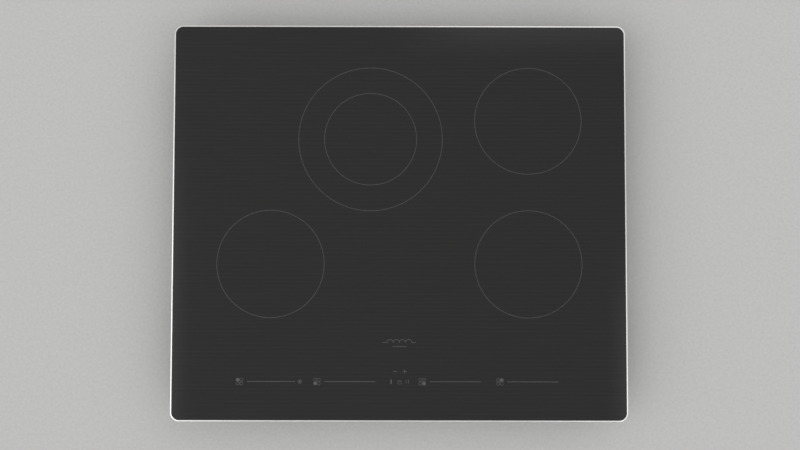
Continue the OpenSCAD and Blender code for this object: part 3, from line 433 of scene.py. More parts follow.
# Dark and light tones, metallic, range of roughness, turns, slant and depth of the threads, and if they cross
# For the litz and the sleeve the dark tone is painted shade in the grooves between the threads; for the earth wire the
# tones are its own green and yellow
STRANDS = {
    "copper_litz": ((0.26, 0.075, 0.025), (0.78, 0.36, 0.15), 0.9, (0.24, 0.38), 48, 0.4, 0.05),
    "silicone_sleeve": ((0.30, 0.03, 0.015), (0.62, 0.10, 0.045), 0.0, (0.5, 0.68), 8, 1.2, 0.06, True),
    "earth_wire": ((0.05, 0.28, 0.04), (0.80, 0.66, 0.03), 0.0, (0.3, 0.42), 2, 0.0, 0.0),
}
MAKERS = black_glass, rim_steel, sealant, gasket_foam, enamel_print, zinc_sheet, ferrite, mica, circuit_board
LOOKS = {maker.__name__: maker() for maker in MAKERS}
for maker, kinds in ((moulded, PLASTICS), (drawn_metal, METALS), (strands, STRANDS)):
    LOOKS.update({name: maker(name, *values) for name, values in kinds.items()})


# ---------- Meshes ----------


class Shape:
    """The points and faces of one piece, in millimetres, collected solid by solid.

    A slot is an index into the piece's looks. uvs are (distance along, share of the way round) for tubes.
    """

    def __init__(self):
        self.points, self.faces, self.slots, self.uvs = [], [], [], []

    def add(self, points, faces, slot=0, place=None, uvs=None):
        first = len(self.points)
        self.points += [place @ Vector(p) for p in points] if place else [Vector(p) for p in points]
        self.faces += [[first + i for i in face] for face in faces]
        self.slots += [slot] * len(faces)
        self.uvs += uvs or [None] * len(faces)
        return self

    def skin(self, rings, slot=0, place=None, closed=False, stations=None):
        """A solid skinned over a row of equally long loops. stations are the loops' distances along it."""
        n, count = len(rings[0]), len(rings)
        faces, uvs = [], []
        for i in range(count if closed else count - 1):
            a, b = i * n, (i + 1) % count * n
            for k in range(n):
                faces.append([a + k, a + (k + 1) % n, b + (k + 1) % n, b + k])
                if stations:
                    low, high = stations[i], stations[i + 1]
                    uvs.append([(low, k / n), (low, (k + 1) / n), (high, (k + 1) / n), (high, k / n)])
        if not closed:
            faces += [list(range(n))[::-1], [(count - 1) * n + k for k in range(n)]]
            uvs += [None, None] if stations else []
        return self.add([p for ring in rings for p in ring], faces, slot, place, uvs or None)

    def copy_of(self, other, place):
        """The solids of another shape, moved by place."""
        self.add(other.points, other.faces, 0, place, list(other.uvs))
        self.slots[-len(other.slots):] = other.slots
        return self

    def block(self, x, y, z, size, edge=0.1, slot=0):
        """Adds a small block with rounded edges, centred on x and y, standing on z."""
        return self.skin(slab(size[0], size[1], edge, 0, size[2], edge, 1, 1), slot, at(x, y, z))

    def mesh(self, name, scale=1.0):
        made = bpy.data.meshes.new(name)
        made.from_pydata([p * scale for p in self.points], [], self.faces)
        return made


def cleaned(mesh):
    """Turns a mesh's faces outwards."""
    work = bmesh.new()
    work.from_mesh(mesh)
    bmesh.ops.recalc_face_normals(work, faces=work.faces)
    work.to_mesh(mesh)
    work.free()
    return mesh


def linked(name, data):
    """A new object in the scene."""
    made = bpy.data.objects.new(name, data)
    bpy.context.scene.collection.objects.link(made)
    return made


def piece(name, shape, looks, smooth_angle=32.0):
    """Makes one object of a shape, which rides on the hob. looks are names in LOOKS, one for each slot."""
    mesh = shape.mesh(name, MM)
    for look in looks:
        mesh.materials.append(LOOKS[look])
    mesh.polygons.foreach_set("material_index", shape.slots)
    if any(shape.uvs):
        uvs = [uv or [(0.0, 0.0)] * len(face) for face, uv in zip(shape.faces, shape.uvs)]
        uv_layer = mesh.uv_layers.new(name="along_around")
        uv_layer.data.foreach_set("uv", [value for uv in uvs for corner in uv for value in corner])
    cleaned(mesh).shade_smooth()
    mesh.set_sharp_from_angle(angle=radians(smooth_angle))
    made = linked(name, mesh)
    made.modifiers.new("flat_faces", "WEIGHTED_NORMAL").keep_sharp = True
    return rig.ride(made, "hob")


def stand_in(name, shape, look, node, smooth_angle=32.0, slot=None):
    """A piece that takes the place of a CAD node. Its slot is named like its look, unless slot is given."""
    made = piece(name, shape, [look], smooth_angle)
    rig.replaces(made, node)
    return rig.slot(made, slot or look)


def at(x=0.0, y=0.0, z=0.0):
    return Matrix.Translation((x, y, z))


def turned(degrees, axis="Z"):
    return Matrix.Rotation(radians(degrees), 4, axis)


def polar(radius, angle, z=0.0):
    return (radius * cos(angle), radius * sin(angle), z)


def loop_round(sides, z, radius):
    """A loop about the Z axis, counter-clockwise from above. radius is a function of the angle."""
    return [polar(radius(angle), angle, z) for angle in (2 * pi * k / sides for k in range(sides))]


def circle(radius, z, sides):
    return loop_round(sides, z, lambda angle: radius)


def lathe(profile, sides):
    """Loops of a turned solid. The profile is a list of (radius, height)."""
    return [circle(max(r, 0.01), z, sides) for r, z in profile]


def rounded_outline(width, depth, radius, z, steps):
    """A rectangle with round corners, counter-clockwise from above."""
    loop = []
    for i, (sx, sy) in enumerate(((1, 1), (-1, 1), (-1, -1), (1, -1))):
        for k in range(steps + 1):
            a = pi / 2 * (i + k / steps)
            loop.append((sx * (width / 2 - radius) + radius * cos(a),
                         sy * (depth / 2 - radius) + radius * sin(a), z))
    return loop


def slab(width, depth, radius, low, high, edge, steps, edge_steps):
    """Loops of a plate with round corners, whose upper and lower edges are rounded by edge."""
    levels = [(edge * (1 - sin(a)), low + edge * (1 - cos(a)))
              for a in (pi / 2 * k / edge_steps for k in range(edge_steps + 1))]
    levels += [(inset, high + low - z) for inset, z in reversed(levels)]
    return [rounded_outline(width - 2 * inset, depth - 2 * inset, max(radius - inset, edge / 4), z, steps)
            for inset, z in levels]


def spline(points, steps):
    """A smooth curve through points (Catmull-Rom), with steps pieces in each stretch."""
    p = [Vector(q) for q in points]
    curve = []
    for i in range(len(p) - 1):
        a, b, c, d = p[max(i - 1, 0)], p[i], p[i + 1], p[min(i + 2, len(p) - 1)]
        for k in range(steps):
            t = k / steps
            curve.append(0.5 * (2 * b + (c - a) * t + (2 * a - 5 * b + 4 * c - d) * t ** 2
                                + (3 * b - a - 3 * c + d) * t ** 3))
    return curve + [p[-1]]


def tube(path, radius, sides, lobes=0, groove=0.0, twist=0.0, closed=False):
    """Loops and stations of a wire along a path, or with lobes, of a rope. twist is in turns per mm."""
    path = [Vector(p) for p in path]
    n = len(path)
    rings, stations, travelled, across = [], [], 0.0, None
    shares = [k / sides for k in range(sides)]
    depths = [1 - abs(sin(pi * lobes * share)) if lobes else 0.0 for share in shares]
    reach = [radius * (1 - groove * depth) for depth in depths]
    for i, p in enumerate(path):
        before = path[i - 1] if i or closed else p
        after = path[(i + 1) % n] if i < n - 1 or closed else p
        heading = (after - before).normalized()
        across = across or heading.orthogonal()
        across = (across - heading * across.dot(heading)).normalized()
        up = heading.cross(across)
        travelled += (p - path[i - 1]).length if i else 0.0
        turn = twist * travelled
        angles = [2 * pi * (share + turn) for share in shares]
        rings.append([p + r * (cos(a) * across + sin(a) * up) for r, a in zip(reach, angles)])
        stations.append(travelled)
    return rings, stations


def wire(shape, path, radius, sides, **rope):
    rings, stations = tube(path, radius, sides, **rope)
    return shape.skin(rings, stations=stations)


def box_of(node):
    """The lowest and highest corners of a CAD node, in millimetres."""
    return [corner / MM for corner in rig.box(node)]


def solids_of(node):
    """The boxes of the separate solids in a CAD node, in millimetres, sorted by their corners."""
    work = bmesh.new()
    work.from_mesh(frame["nodes"][node].data)
    bmesh.ops.remove_doubles(work, verts=work.verts, dist=1e-6)
    left, boxes = set(work.verts), []
    while left:
        todo, found = [left.pop()], []
        while todo:
            vert = todo.pop()
            found.append(vert.co / MM)
            for edge in vert.link_edges:
                other = edge.other_vert(vert)
                if other in left:
                    left.remove(other)
                    todo.append(other)
        boxes.append([Vector(map(pick, *found)) for pick in (min, max)])
    work.free()
    return sorted(boxes, key=lambda box: tuple(round(c, 2) for c in (*box[0], *box[1])))


def middle(box):
    return (box[0] + box[1]) / 2


def carved(shape, cutter):
    """A shape with another cut out of it."""
    made = [linked("carving", cleaned(part.mesh("carving"))) for part in (shape, cutter)]
    cut = made[0].modifiers.new("cut", "BOOLEAN")
    cut.operation, cut.solver, cut.object = "DIFFERENCE", "EXACT", made[1]
    bpy.context.view_layer.update()
    result = made[0].evaluated_get(bpy.context.evaluated_depsgraph_get()).to_mesh()
    out = Shape().add([v.co.copy() for v in result.vertices], [list(p.vertices) for p in result.polygons])
    for part in made:
        bpy.data.objects.remove(part)
    return out


# ---------- Rounded edges of the CAD nodes ----------

STEEP = radians(35)


class Geometry(Nodes):
    """A geometry node group that passes one mesh through a chain of steps."""

    prefix = ""

    def __init__(self, name):
        super().__init__(bpy.data.node_groups.new(name, "GeometryNodeTree"))
        for in_out in ("INPUT", "OUTPUT"):
            self.tree.interface.new_socket("Geometry", in_out=in_out, socket_type="NodeSocketGeometry")
        self.mesh = self.tree.nodes.new("NodeGroupInput").outputs[0]

    def step(self, kind, values=None, **settings):
        self.mesh = self.node(kind, {0: self.mesh, **(values or {})}, **settings).outputs[0]
        return self

    def store(self, attribute, value, kind, selection=True):
        values = {"Name": attribute, "Value": value, "Selection": selection}
        return self.step("GeometryNodeStoreNamedAttribute", values, data_type=kind, domain="EDGE")

    def done(self):
        self.set(self.tree.nodes.new("NodeGroupOutput"), {0: self.mesh})
        return self.tree


def cad_cleaner():
    """Welds an imported CAD mesh and shades it smooth, so that bevels can follow its edges."""
    steps = Geometry("cad_cleaner")
    steps.step("GeometryNodeRemoveAttribute", {"Name": "custom_normal"})
    steps.step("GeometryNodeMergeByDistance", {"Distance": 1e-6})
    return steps.step("GeometryNodeSetShadeSmooth").done()


def creaser():
    """Keeps the edges sharp that are still steep after rounding."""
    steps = Geometry("creaser")
    angle = steps.node("GeometryNodeInputMeshEdgeAngle").outputs[0]
    steep = steps.node("FunctionNodeCompare", {0: angle, 1: STEEP}).outputs[0]
    return steps.store("sharp_edge", steep, "BOOLEAN").done()


CLEANER, CREASER = cad_cleaner(), creaser()


def soft_edges(level, corner_r, width, depth):
    """Marks the outer edge of a rounded rectangle on one level, for a bevel of its own. Sizes are in mm."""
    steps = Geometry("soft_edges")

    def vector(operation, a, b=(0, 0, 0)):
        return steps.node("ShaderNodeVectorMath", {0: a, 1: b}, operation=operation).outputs[0]

    def near(value, target, reach):
        values = {0: value, 1: target * MM, "Epsilon": reach * MM}
        return steps.node("FunctionNodeCompare", values, operation="EQUAL").outputs[0]

    place = steps.node("GeometryNodeInputPosition").outputs[0]
    spread = vector("ABSOLUTE", vector("MULTIPLY", place, (1, 1, 0)))
    inset = ((width / 2 - corner_r) * MM, (depth / 2 - corner_r) * MM, 0)
    past = vector("MAXIMUM", vector("SUBTRACT", spread, inset))
    reach = steps.node("ShaderNodeVectorMath", {0: past}, operation="LENGTH").outputs["Value"]
    height = steps.node("ShaderNodeSeparateXYZ", {0: place}).outputs["Z"]
    on_edge = {0: near(reach, corner_r, 0.3), 1: near(height, level, 0.05)}
    chosen = steps.node("FunctionNodeBooleanMath", on_edge).outputs[0]
    return steps.store("bevel_weight_edge", 1.0, "FLOAT", chosen).done()


def round_edges(cad, name, radius, segments, limit):
    bevel = cad.modifiers.new(name, "BEVEL")
    bevel.width, bevel.segments, bevel.limit_method, bevel.angle_limit = radius * MM, segments, limit, STEEP
    return bevel


def dress(node, edge, segments=2, outer=None):
    """Gives a CAD node its material, and rounds its edges with modifiers. The CAD mesh stays as it is.

    edge is the rounding in mm, or 0 for none.
    outer is (radius, level, corner radius) of one outer edge of a rounded rectangle that is rounded by more.
    """
    cad = frame["nodes"][node]
    cad.material_slots[0].material = LOOKS[cad.data.materials[0].name.split(".")[0]]
    cad.modifiers.new("clean", "NODES").node_group = CLEANER
    flat = cad.modifiers.new("flat", "DECIMATE")
    flat.decimate_type, flat.angle_limit = "DISSOLVE", radians(0.2)
    if outer:
        radius, level, corner_r = outer
        low, high = box_of(node)
        marks = soft_edges(level, corner_r, high.x - low.x, high.y - low.y)
        cad.modifiers.new("mark", "NODES").node_group = marks
        round_edges(cad, "outer_edge", radius, 4, "WEIGHT").use_clamp_overlap = False
    if edge:
        round_edges(cad, "edges", edge, segments, "ANGLE")
    cad.modifiers.new("crease", "NODES").node_group = CREASER
    cad.modifiers.new("flat_faces", "WEIGHTED_NORMAL").keep_sharp = True


# ---------- Studio ----------

LENS, SENSOR = 50.0, 36.0
# Place in metres, with the height over the glass, and turns in degrees
CAMERA_X, CAMERA_Y, CAMERA_HEIGHT = -0.0038, -0.0791, 1.4393
CAMERA_TILT, CAMERA_ROLL, CAMERA_SPIN = 2.99, -0.172, 0.106
OVERHEAD, HORIZON = 0.90, 0.38
FLOOR_SIZE, FLOOR_THICK = 30000, 20
# Soft panels in the sky: the axis and span over which one fades in, its fade along another axis, its strength
PANELS = (("X", -0.182, -0.214, "Y", 0.25, 0.0, 1.5), ("X", 0.185, 0.215, "Y", 0.06, -0.06, 1.0),
          ("Y", 0.195, 0.235, "X", -0.02, 0.08, 0.7))


def sky():
    """Soft light from all round, brighter overhead and to the left, with three soft panels beside the hob."""
    world = bpy.data.worlds.new("studio")
    bpy.context.scene.world = world
    world.use_nodes = True
    nodes = Nodes(world.node_tree)
    axes = nodes.node("SeparateXYZ", {"Vector": nodes.node("TexCoord").outputs["Generated"]}).outputs

    def fade(axis, low, high, start, end):
        return nodes.between(axes[axis], low, high, start, end, interpolation_type="SMOOTHSTEP")

    light = fade("Z", HORIZON, OVERHEAD, -0.1, 0.8)
    light = nodes.times(light, nodes.between(axes["X"], 1.12, 0.88, -0.6, 0.6))
    for axis, start, full, other, other_start, other_full, strength in PANELS:
        near, beside = fade(axis, 0.0, strength, start, full), fade(other, 0.0, 1.0, other_start, other_full)
        light = nodes.plus(light, nodes.times(nodes.times(near, beside), fade("Z", 0.0, 1.0, 0.15, 0.45)))
    nodes.set(world.node_tree.nodes["Background"], {"Color": (1.0, 0.995, 0.985, 1.0), "Strength": light})


def floor():
    """A plain pale floor under the tray."""
    level = cad_low.z / MM
    outline = slab(FLOOR_SIZE, FLOOR_SIZE, FLOOR_SIZE / 8, level - FLOOR_THICK, level, 1, 12, 2)
    mesh = Shape().skin(outline).mesh("floor", MM)
    look = Look("floor")
    look.colour(look.noise(300, 3), grey(0.34), grey(0.38)).roughness(look.noise(90), 0.75, 0.85)
    mesh.materials.append(look.material)
    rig.stage(linked("floor", mesh))


def studio():
    """The camera over the hob, with the floor and the light."""
    scene = bpy.context.scene
    camera = linked("camera", bpy.data.cameras.new("camera"))
    camera.data.lens, camera.data.sensor_width = LENS, SENSOR
    camera.data.clip_start, camera.data.clip_end = 0.05, 50.0
    place = at(CAMERA_X, CAMERA_Y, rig.box("glass_top")[1].z + CAMERA_HEIGHT)
    camera.matrix_world = place @ turned(CAMERA_ROLL, "Y") @ turned(CAMERA_TILT, "X") @ turned(CAMERA_SPIN)
    scene.camera = camera
    floor()
    sky()
    scene.view_settings.view_transform = "Standard"
    scene.view_settings.look = "None"


studio()


# ---------- Glass, rim and seals ----------

RIM_CORNER_R, TRAY_CORNER_R = 12.0, 8.0


def glass():
    """The glass-ceramic plate, with its edge ground round."""
    low, high = box_of("glass_top")
    corner_r = RIM_CORNER_R - (box_of("trim_frame")[1].x - high.x)
    plate = Shape().skin(slab(high.x - low.x, high.y - low.y, corner_r, low.z, high.z, 0.5, 12, 4))
    stand_in("ceramic_glass", plate, "black_glass", "glass_top")


glass()
dress("trim_frame", 0.25, outer=(1.1, box_of("trim_frame")[1].z, RIM_CORNER_R))
dress("glass_adhesive", 0.12)
dress("worktop_gasket", 0.3)
dress("printed_markings", 0.01, 1)
dress("base_tray", 0, outer=(1.4, box_of("base_tray")[0].z, TRAY_CORNER_R))


# ---------- Coils ----------

TURN_GAP = 0.4
# (Inner radius, direction of the leads, sideways offsets of the inner and the outer end) of each winding
WINDINGS = {
    "front_left": (20, 215, 0, 7), "front_right": (20, -35, 0, 7), "rear_right": (20, 215, 0, 7),
    "rear_inner": (20, 225, 0, -3.5), "rear_outer": (63, 225, -7, 7),
}
LEAD_R, LEAD_DROP, SIGNAL_WIRE_R, MAINS_WIRE_R = 1.5, 9, 0.7, 1.6
BOARD_TOP = box_of("power_board_left")[1].z
FORMER_LOW = box_of("ferrite_bars")[1].z


def spiral(first, last, start, end, spacing):
    """Points along a spiral between two radii and two angles, about evenly spaced."""
    count = int((end - start) * (first + last) / 2 / spacing)
    points = []
    for i in range(count + 1):
        radius = sqrt(first ** 2 + (last ** 2 - first ** 2) * i / count)
        angle = start + (end - start) * (radius - first) / (last - first)
        points.append(polar(radius, angle))
    return points


def litz_winding(name, inner, direction, inner_side, outer_side):
    """A flat coil of litz wire: one rope of six twisted bundles, wound in a spiral."""
    low, high = box_of("coil_winding_" + name)
    thick = high.z - low.z
    first, last = inner + thick / 2, (high.x - low.x) / 2 - thick / 2
    turns = int((last - first + thick) / (thick + TURN_GAP))
    start, end = asin(inner_side / first), asin(outer_side / last) + 2 * pi * (turns - 1)
    hub = middle((low, high))
    place = at(*hub) @ turned(direction)
    path = [place @ Vector(p) for p in spiral(first, last, start, end, 2.4)]
    rope = wire(Shape(), path, thick / 2, 18, lobes=6, groove=0.13, twist=0.035)
    stand_in("litz_" + name, rope, "copper_litz", "coil_winding_" + name, 75)


def spring_line(radius, low, high, turns, steps):
    """A compression spring's line: half a turn at each end lies flat, and it climbs between them."""
    line, dead = [], 0.5
    for i in range(int((turns + 2 * dead) * steps) + 1):
        turn = i / steps
        climb = min(max((turn - dead) / turns, 0), 1)
        climb = climb * climb * (3 - 2 * climb) if turns < 4 else climb
        line.append(polar(radius, 2 * pi * turn, low + (high - low) * climb))
    return line


def springs(name, node, look, wire_r, turns, steps, sides):
    """Wound springs in place of a node's plain ones, each as wide and as high as its own."""
    coils = Shape()
    for box in solids_of(node):
        hub, half = middle(box), (box[1].x - box[0].x) / 2
        line = spring_line(half - wire_r, box[0].z + wire_r, box[1].z - wire_r, turns, steps)
        wire(coils, [Vector((hub.x, hub.y, 0)) + Vector(p) for p in line], wire_r, sides)
    stand_in(name, coils, look, node, 60)


def routed(base, direction, route, side=0.0):
    """A wire's smooth line along a route of (distance, height), in the vertical plane of a direction."""
    place = at(*base) @ turned(direction)
    return spline([place @ Vector((d, side, z)) for d, z in route], 4)


def lead_routes(name, direction):
    """The lines of a coil's leads: one from its outer end, the others from the ends that pass under it."""
    outer_node = "rear_outer" if name == "rear_inner" else name
    low, high = box_of("coil_winding_" + outer_node)
    outer, mid = (high.x - low.x) / 2, (low.z + high.z) / 2
    hub = middle((low, high))
    drop, under = outer + LEAD_DROP, FORMER_LOW - 3
    base = (hub.x, hub.y, 0)
    thick = high.z - low.z
    lines = [routed(base, direction, [
        (outer, mid), (outer + 3, mid), (drop - 2, mid - 2), (drop, -5), (drop, -13), (drop, -26),
        (drop, BOARD_TOP)], 7)]
    starts = [(WINDINGS[name][0] + thick / 2, 0)]
    if name == "rear_inner":
        inner_low, inner_high = box_of("coil_winding_rear_inner")
        starts.append(((inner_high.x - inner_low.x) / 2 - thick / 2, -3.5))
        starts.append((WINDINGS["rear_outer"][0] + thick / 2, -7))
    for start, side in starts:
        lines.append(routed(base, direction, [
            (start, mid - thick / 2), (start, FORMER_LOW + 0.6), (start, FORMER_LOW - 0.6),
            (start + 1.6, under), (start + 5, under), (outer - 2, under), (drop - 2, under - 1.5),
            (drop, -10), (drop, -14), (drop, -26), (drop, BOARD_TOP)], side))
    return lines


def signal_routes():
    """The lines of the temperature sensors' leads and of the fans' leads."""
    lines = []
    front = [(0, -7.1), (0, -10), (0, -14), (3, -20), (14, -24), (26, -28), (30, -34), (30, -36)]
    dual = [(0, -7.1), (0, -10), (0, -13), (4, -18), (20, -21), (50, -23), (58, -28), (60, -34), (60, -36)]
    rear = [(0, -7.1), (0, -9), (0, -12), (4, -15.2), (12, -16), (44, -16), (62, -20), (80, -28), (85, -34),
            (85, -36)]
    for name, direction, route in (("front_left", -90, front), ("front_right", -90, front),
                                   ("rear_inner", 235, dual), ("rear_right", 205, rear)):
        hub = middle(box_of("coil_winding_" + name))
        lines.append(routed((hub.x, hub.y, 0), direction, route + [(route[-1][0], BOARD_TOP)]))
    fan = [(9, -22.5), (9, -20.5), (9, -18.9), (10.6, -17.8), (15, -17.6), (39, -17.8), (77, -17.8),
           (87, -20.5), (95, -29), (99, -34), (99, -36), (99, BOARD_TOP)]
    for side, direction in (("left", -45), ("right", 225)):
        hub = middle(box_of("fan_shaft_" + side))
        lines.append(routed((hub.x, hub.y, 0), direction, fan))
    return lines


def solder(joints, line, radius):
    """The fillet of solder where a wire meets its board."""
    end = line[-1]
    rings = lathe([(radius * 2.1, 0), (radius * 1.55, 0.25), (radius * 1.2, 0.8), (radius * 1.02, 1.7)], 16)
    joints.skin([[Vector(p) + Vector((end.x, end.y, BOARD_TOP)) for p in ring] for ring in rings])


def wiring():
    """All the loose wires, with the solder at their ends on the boards."""
    joints, leads, signals = Shape(), Shape(), Shape()

    def lay(shape, line, radius, sides):
        wire(shape, line, radius, sides)
        solder(joints, line, radius)

    for name in ("front_left", "front_right", "rear_right", "rear_inner"):
        for line in lead_routes(name, WINDINGS[name][1]):
            lay(leads, line, LEAD_R, 14)
    for line in signal_routes():
        lay(signals, line, SIGNAL_WIRE_R, 10)
    stand_in("coil_lead_sleeves", leads, "silicone_sleeve", "coil_leads", 60)
    stand_in("sensor_and_fan_leads", signals, "signal_wire", "signal_leads", 60)

    colours = {"live_wire": Shape(), "mains_wire": Shape(), "earth_wire": Shape()}
    back = box_of("terminal_block")[0].y
    jumper = [(0, -29), (1.2, -29), (2.4, -29), (5, -30.6), (6, -33.5), (6, -36), (6, BOARD_TOP)]
    terminals_x, feed_x, feed_y = (-30, -20, -10), 30, 112
    for x, colour in zip(terminals_x, colours):
        lay(colours[colour], routed((x, back, 0), -90, jumper), MAINS_WIRE_R, 14)
    feed = [(0, BOARD_TOP), (0, -36), (0, -34), (2, -30), (8, -28), (30, -27), (54, -28), (60, -30),
            (62, -34), (62, -36), (62, BOARD_TOP)]
    for side, direction in ((1, -32), (-1, 212)):
        for offset, colour in ((-3, "live_wire"), (3, "mains_wire")):
            line = routed((side * feed_x, feed_y, 0), direction, feed, offset * side)
            lay(colours[colour], line, MAINS_WIRE_R, 14)
            solder(joints, line[::-1], MAINS_WIRE_R)
    for colour, shape in colours.items():
        stand_in("mains_" + colour, shape, colour, "mains_wires", 60, "mains_wire")
    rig.slot(piece("solder_joints", joints, ["tin"]), "screw_steel")


def ribbon():
    """The flat cable from the touch board: twelve conductors side by side, bent twice."""
    low, high = box_of("ribbon_cable")
    conductors, thick = 12, 0.9
    width, x, front, back = high.x - low.x, (low.x + high.x) / 2, low.y + 0.5, high.y - 0.5
    path = spline([(front, high.z), (front, -14), (front, -22), (front + 4, -26.5), (front + 9, -30.4),
                   (front + 14, -33.3), (front + 22, -34.2), (front + 40, -34.5), (back - 4, -34.6),
                   (back - 0.8, -35.6), (back, -37.4), (back, low.z)], 4)
    ridges = []
    for k in range(conductors):
        for share, lift in ((0.06, 0.62), (0.28, 0.94), (0.5, 1.0), (0.72, 0.94), (0.94, 0.62)):
            ridges.append(((k + share) / conductors - 0.5, lift))
    outline = ridges + [(share, -lift) for share, lift in reversed(ridges)]
    rings = []
    for i, p in enumerate(path):
        heading = (path[min(i + 1, len(path) - 1)] - path[max(i - 1, 0)]).normalized()
        rings.append([(x + share * width, p.x - heading.y * lift * thick / 2,
                       p.y + heading.x * lift * thick / 2) for share, lift in outline])
    stand_in("flat_cable", Shape().skin(rings), "ribbon", "ribbon_cable", 50)


def choke_places():
    """(Core radius, core height, turns, x, y) of each choke on the boards."""
    mains = middle(box_of("mains_filter_board"))
    places = []
    for side, name in ((-1, "left"), (1, "right")):
        board = middle(box_of("power_board_" + name))
        places += [(12, 12, 16, board.x + side * offset, board.y - 96) for offset in (-52, -10)]
    return places + [(13, 14, 18, mains.x + 22, mains.y + 12)]


def chokes():
    """Ring cores wound with enamelled wire, one closed loop of it for each turn of the CAD ring."""
    cores, coils = Shape(), Shape()
    turn_t, wire_r, core_w, wound, steps = 1.4, 0.62, 8, 330, 48
    room = 2 * turn_t - 2 * wire_r
    for core_r, core_h, turns, x, y in choke_places():
        low, high = BOARD_TOP + turn_t, BOARD_TOP + turn_t + core_h

        def section(width, height, radius, corner_steps):
            return [Vector((core_r, 0, (low + high) / 2)) + Vector((p[0], 0, p[1]))
                    for p in rounded_outline(width, height, radius, 0, corner_steps)]

        core = section(core_w, core_h, 1.2, 3)
        rings = [[turned(360 * k / steps) @ p for p in core] for k in range(steps)]
        cores.skin(rings, 0, at(x, y), closed=True)
        rings = tube(section(core_w + room, core_h + room, 1.6, 4), wire_r, 10, closed=True)[0]
        for k in range(turns):
            coils.skin(rings, 0, at(x, y) @ turned(k * wound / turns), closed=True)
    stand_in("choke_cores", cores, "component_black", "filter_chokes")
    stand_in("choke_turns", coils, "choke_copper", "filter_chokes", 60)


# ---------- Screws and gland ----------


def thread(crest, root, top, bottom, pitch, sides):
    """Loops of a right-hand threaded shank, from top down to its tapered tip at bottom."""
    count = int((top - bottom) / pitch * 5)
    rings = []
    for z in (top - (top - bottom) * i / count for i in range(count + 1)):
        taper = min(1.0, 0.6 + 0.4 * (z - bottom) / pitch)
        ring = []
        for k in range(sides):
            ridge = 1 - abs(2 * ((z / pitch - k / sides) % 1) - 1)
            ring.append(polar(taper * (root + (crest - root) * ridge), 2 * pi * k / sides, z))
        rings.append(ring)
    return rings


def cross_cutter(top, depth, reach, width):
    """A tapered cross that sinks into a screw head from above."""
    rings = []
    for z, scale in ((top + 1, 1.0), (top, 1.0), (top - depth, 0.45)):
        a, b = reach / 2 * scale, width / 2 * (0.5 + scale / 2)
        corners = ((a, -b), (a, b), (b, b), (b, a), (-b, a), (-b, b),
                   (-a, b), (-a, -b), (-b, -b), (-b, -a), (b, -a), (b, -b))
        rings.append([(x, y, z) for x, y in corners])
    return Shape().skin(rings)


def slot_cutter(top, depth, reach, width):
    """A straight slot across a screw head."""
    rings = [[(x * reach, y * width / 2, z) for x, y in ((1, -1), (1, 1), (-1, 1), (-1, -1))]
             for z in (top + 1, top - depth)]
    return Shape().skin(rings)


# Outlines of screw heads: (share of the radius, share of the height)
PAN_HEAD = [(0.0, 1.0), (0.35, 0.985), (0.62, 0.92), (0.82, 0.78), (0.94, 0.56), (1.0, 0.28), (1.0, 0.1),
            (0.96, 0.0)]
FLAT_HEAD = [(0.0, 1.0), (0.90, 1.0), (0.97, 0.97), (1.0, 0.88), (1.0, 0.80)]


def screw(head_r, head_h, shank_r, shank_l, pitch, profile=PAN_HEAD, cutter=cross_cutter):
    """A screw whose head sits on z = 0, with its shank pointing down."""
    sides = 28 if head_r > 4 else 20
    head = lathe([(head_r * r, head_h * z) for r, z in profile], sides)
    body = Shape().skin(head + thread(shank_r, shank_r * 0.8, -0.2, -shank_l, pitch, sides))
    return carved(body, cutter(head_h, min(1.3, head_h * 0.6), 1.1 * head_r, 0.9))


def hang(shape, one, box, head_h):
    """Adds a screw that points up, with its head at the foot of its box."""
    hub = middle(box)
    shape.copy_of(one, at(hub.x, hub.y, box[0].z + head_h) @ turned(180, "X"))


def screws():
    """Threaded screws in place of the plain ones, each standing as its own box says."""
    clamp, tray, inner, terminal = Shape(), Shape(), Shape(), Shape()
    clamp_head, tray_head, board_head, hatch_head, terminal_head = 2.3, 1.9, 1.8, 0.98, 2
    clamp_one = screw(4.4, clamp_head, 2.5, 34.4, 0.8)
    for box in solids_of("clamp_screws"):
        hang(clamp, clamp_one, box, clamp_head)
    tray_one = screw(3.4, tray_head, 1.6, 6, 0.7)
    for low, high in solids_of("tray_screws"):
        seat, axis = middle((low, high)), 0 if high.x - low.x > 7 else 1
        out = copysign(1, seat[axis])
        seat[axis] = out * (max(abs(low[axis]), abs(high[axis])) - tray_head)
        tray.copy_of(tray_one, at(*seat) @ turned(90 * out if axis == 0 else -90 * out, "YX"[axis]))
    board_ones = {length: screw(3, board_head, 1.5, length, 0.6) for length in (8, 6, 4)}
    hatch_one = screw(2.8, hatch_head, 1.4, 7.9, 0.6, FLAT_HEAD)
    for low, high in solids_of("inner_screws"):
        if high.x - low.x < 5.9:
            hang(inner, hatch_one, (low, high), hatch_head)
        else:
            hub, one = middle((low, high)), board_ones[round(high.z - low.z - board_head)]
            inner.copy_of(one, at(hub.x, hub.y, high.z - board_head))
    terminal_one = screw(3.5, terminal_head, 2.3, 5, 0.7, cutter=slot_cutter)
    for box in solids_of("terminal_screws"):
        hang(terminal, terminal_one, box, terminal_head)
    stand_in("clamp_bolts", clamp, "screw_steel", "clamp_screws", 40)
    stand_in("tray_bolts", tray, "screw_steel", "tray_screws", 40)
    stand_in("inner_bolts", inner, "screw_steel", "inner_screws", 40)
    stand_in("terminal_bolts", terminal, "terminal_brass", "terminal_screws", 40)


def polygon_loop(across, corners, z, sides, turned_r):
    """A loop round a regular polygon, across wide over its flats, with its corners turned down."""
    bay = pi / corners
    return loop_round(sides, z, lambda a: min(across / 2 / cos((a + bay) % (2 * bay) - bay), turned_r))


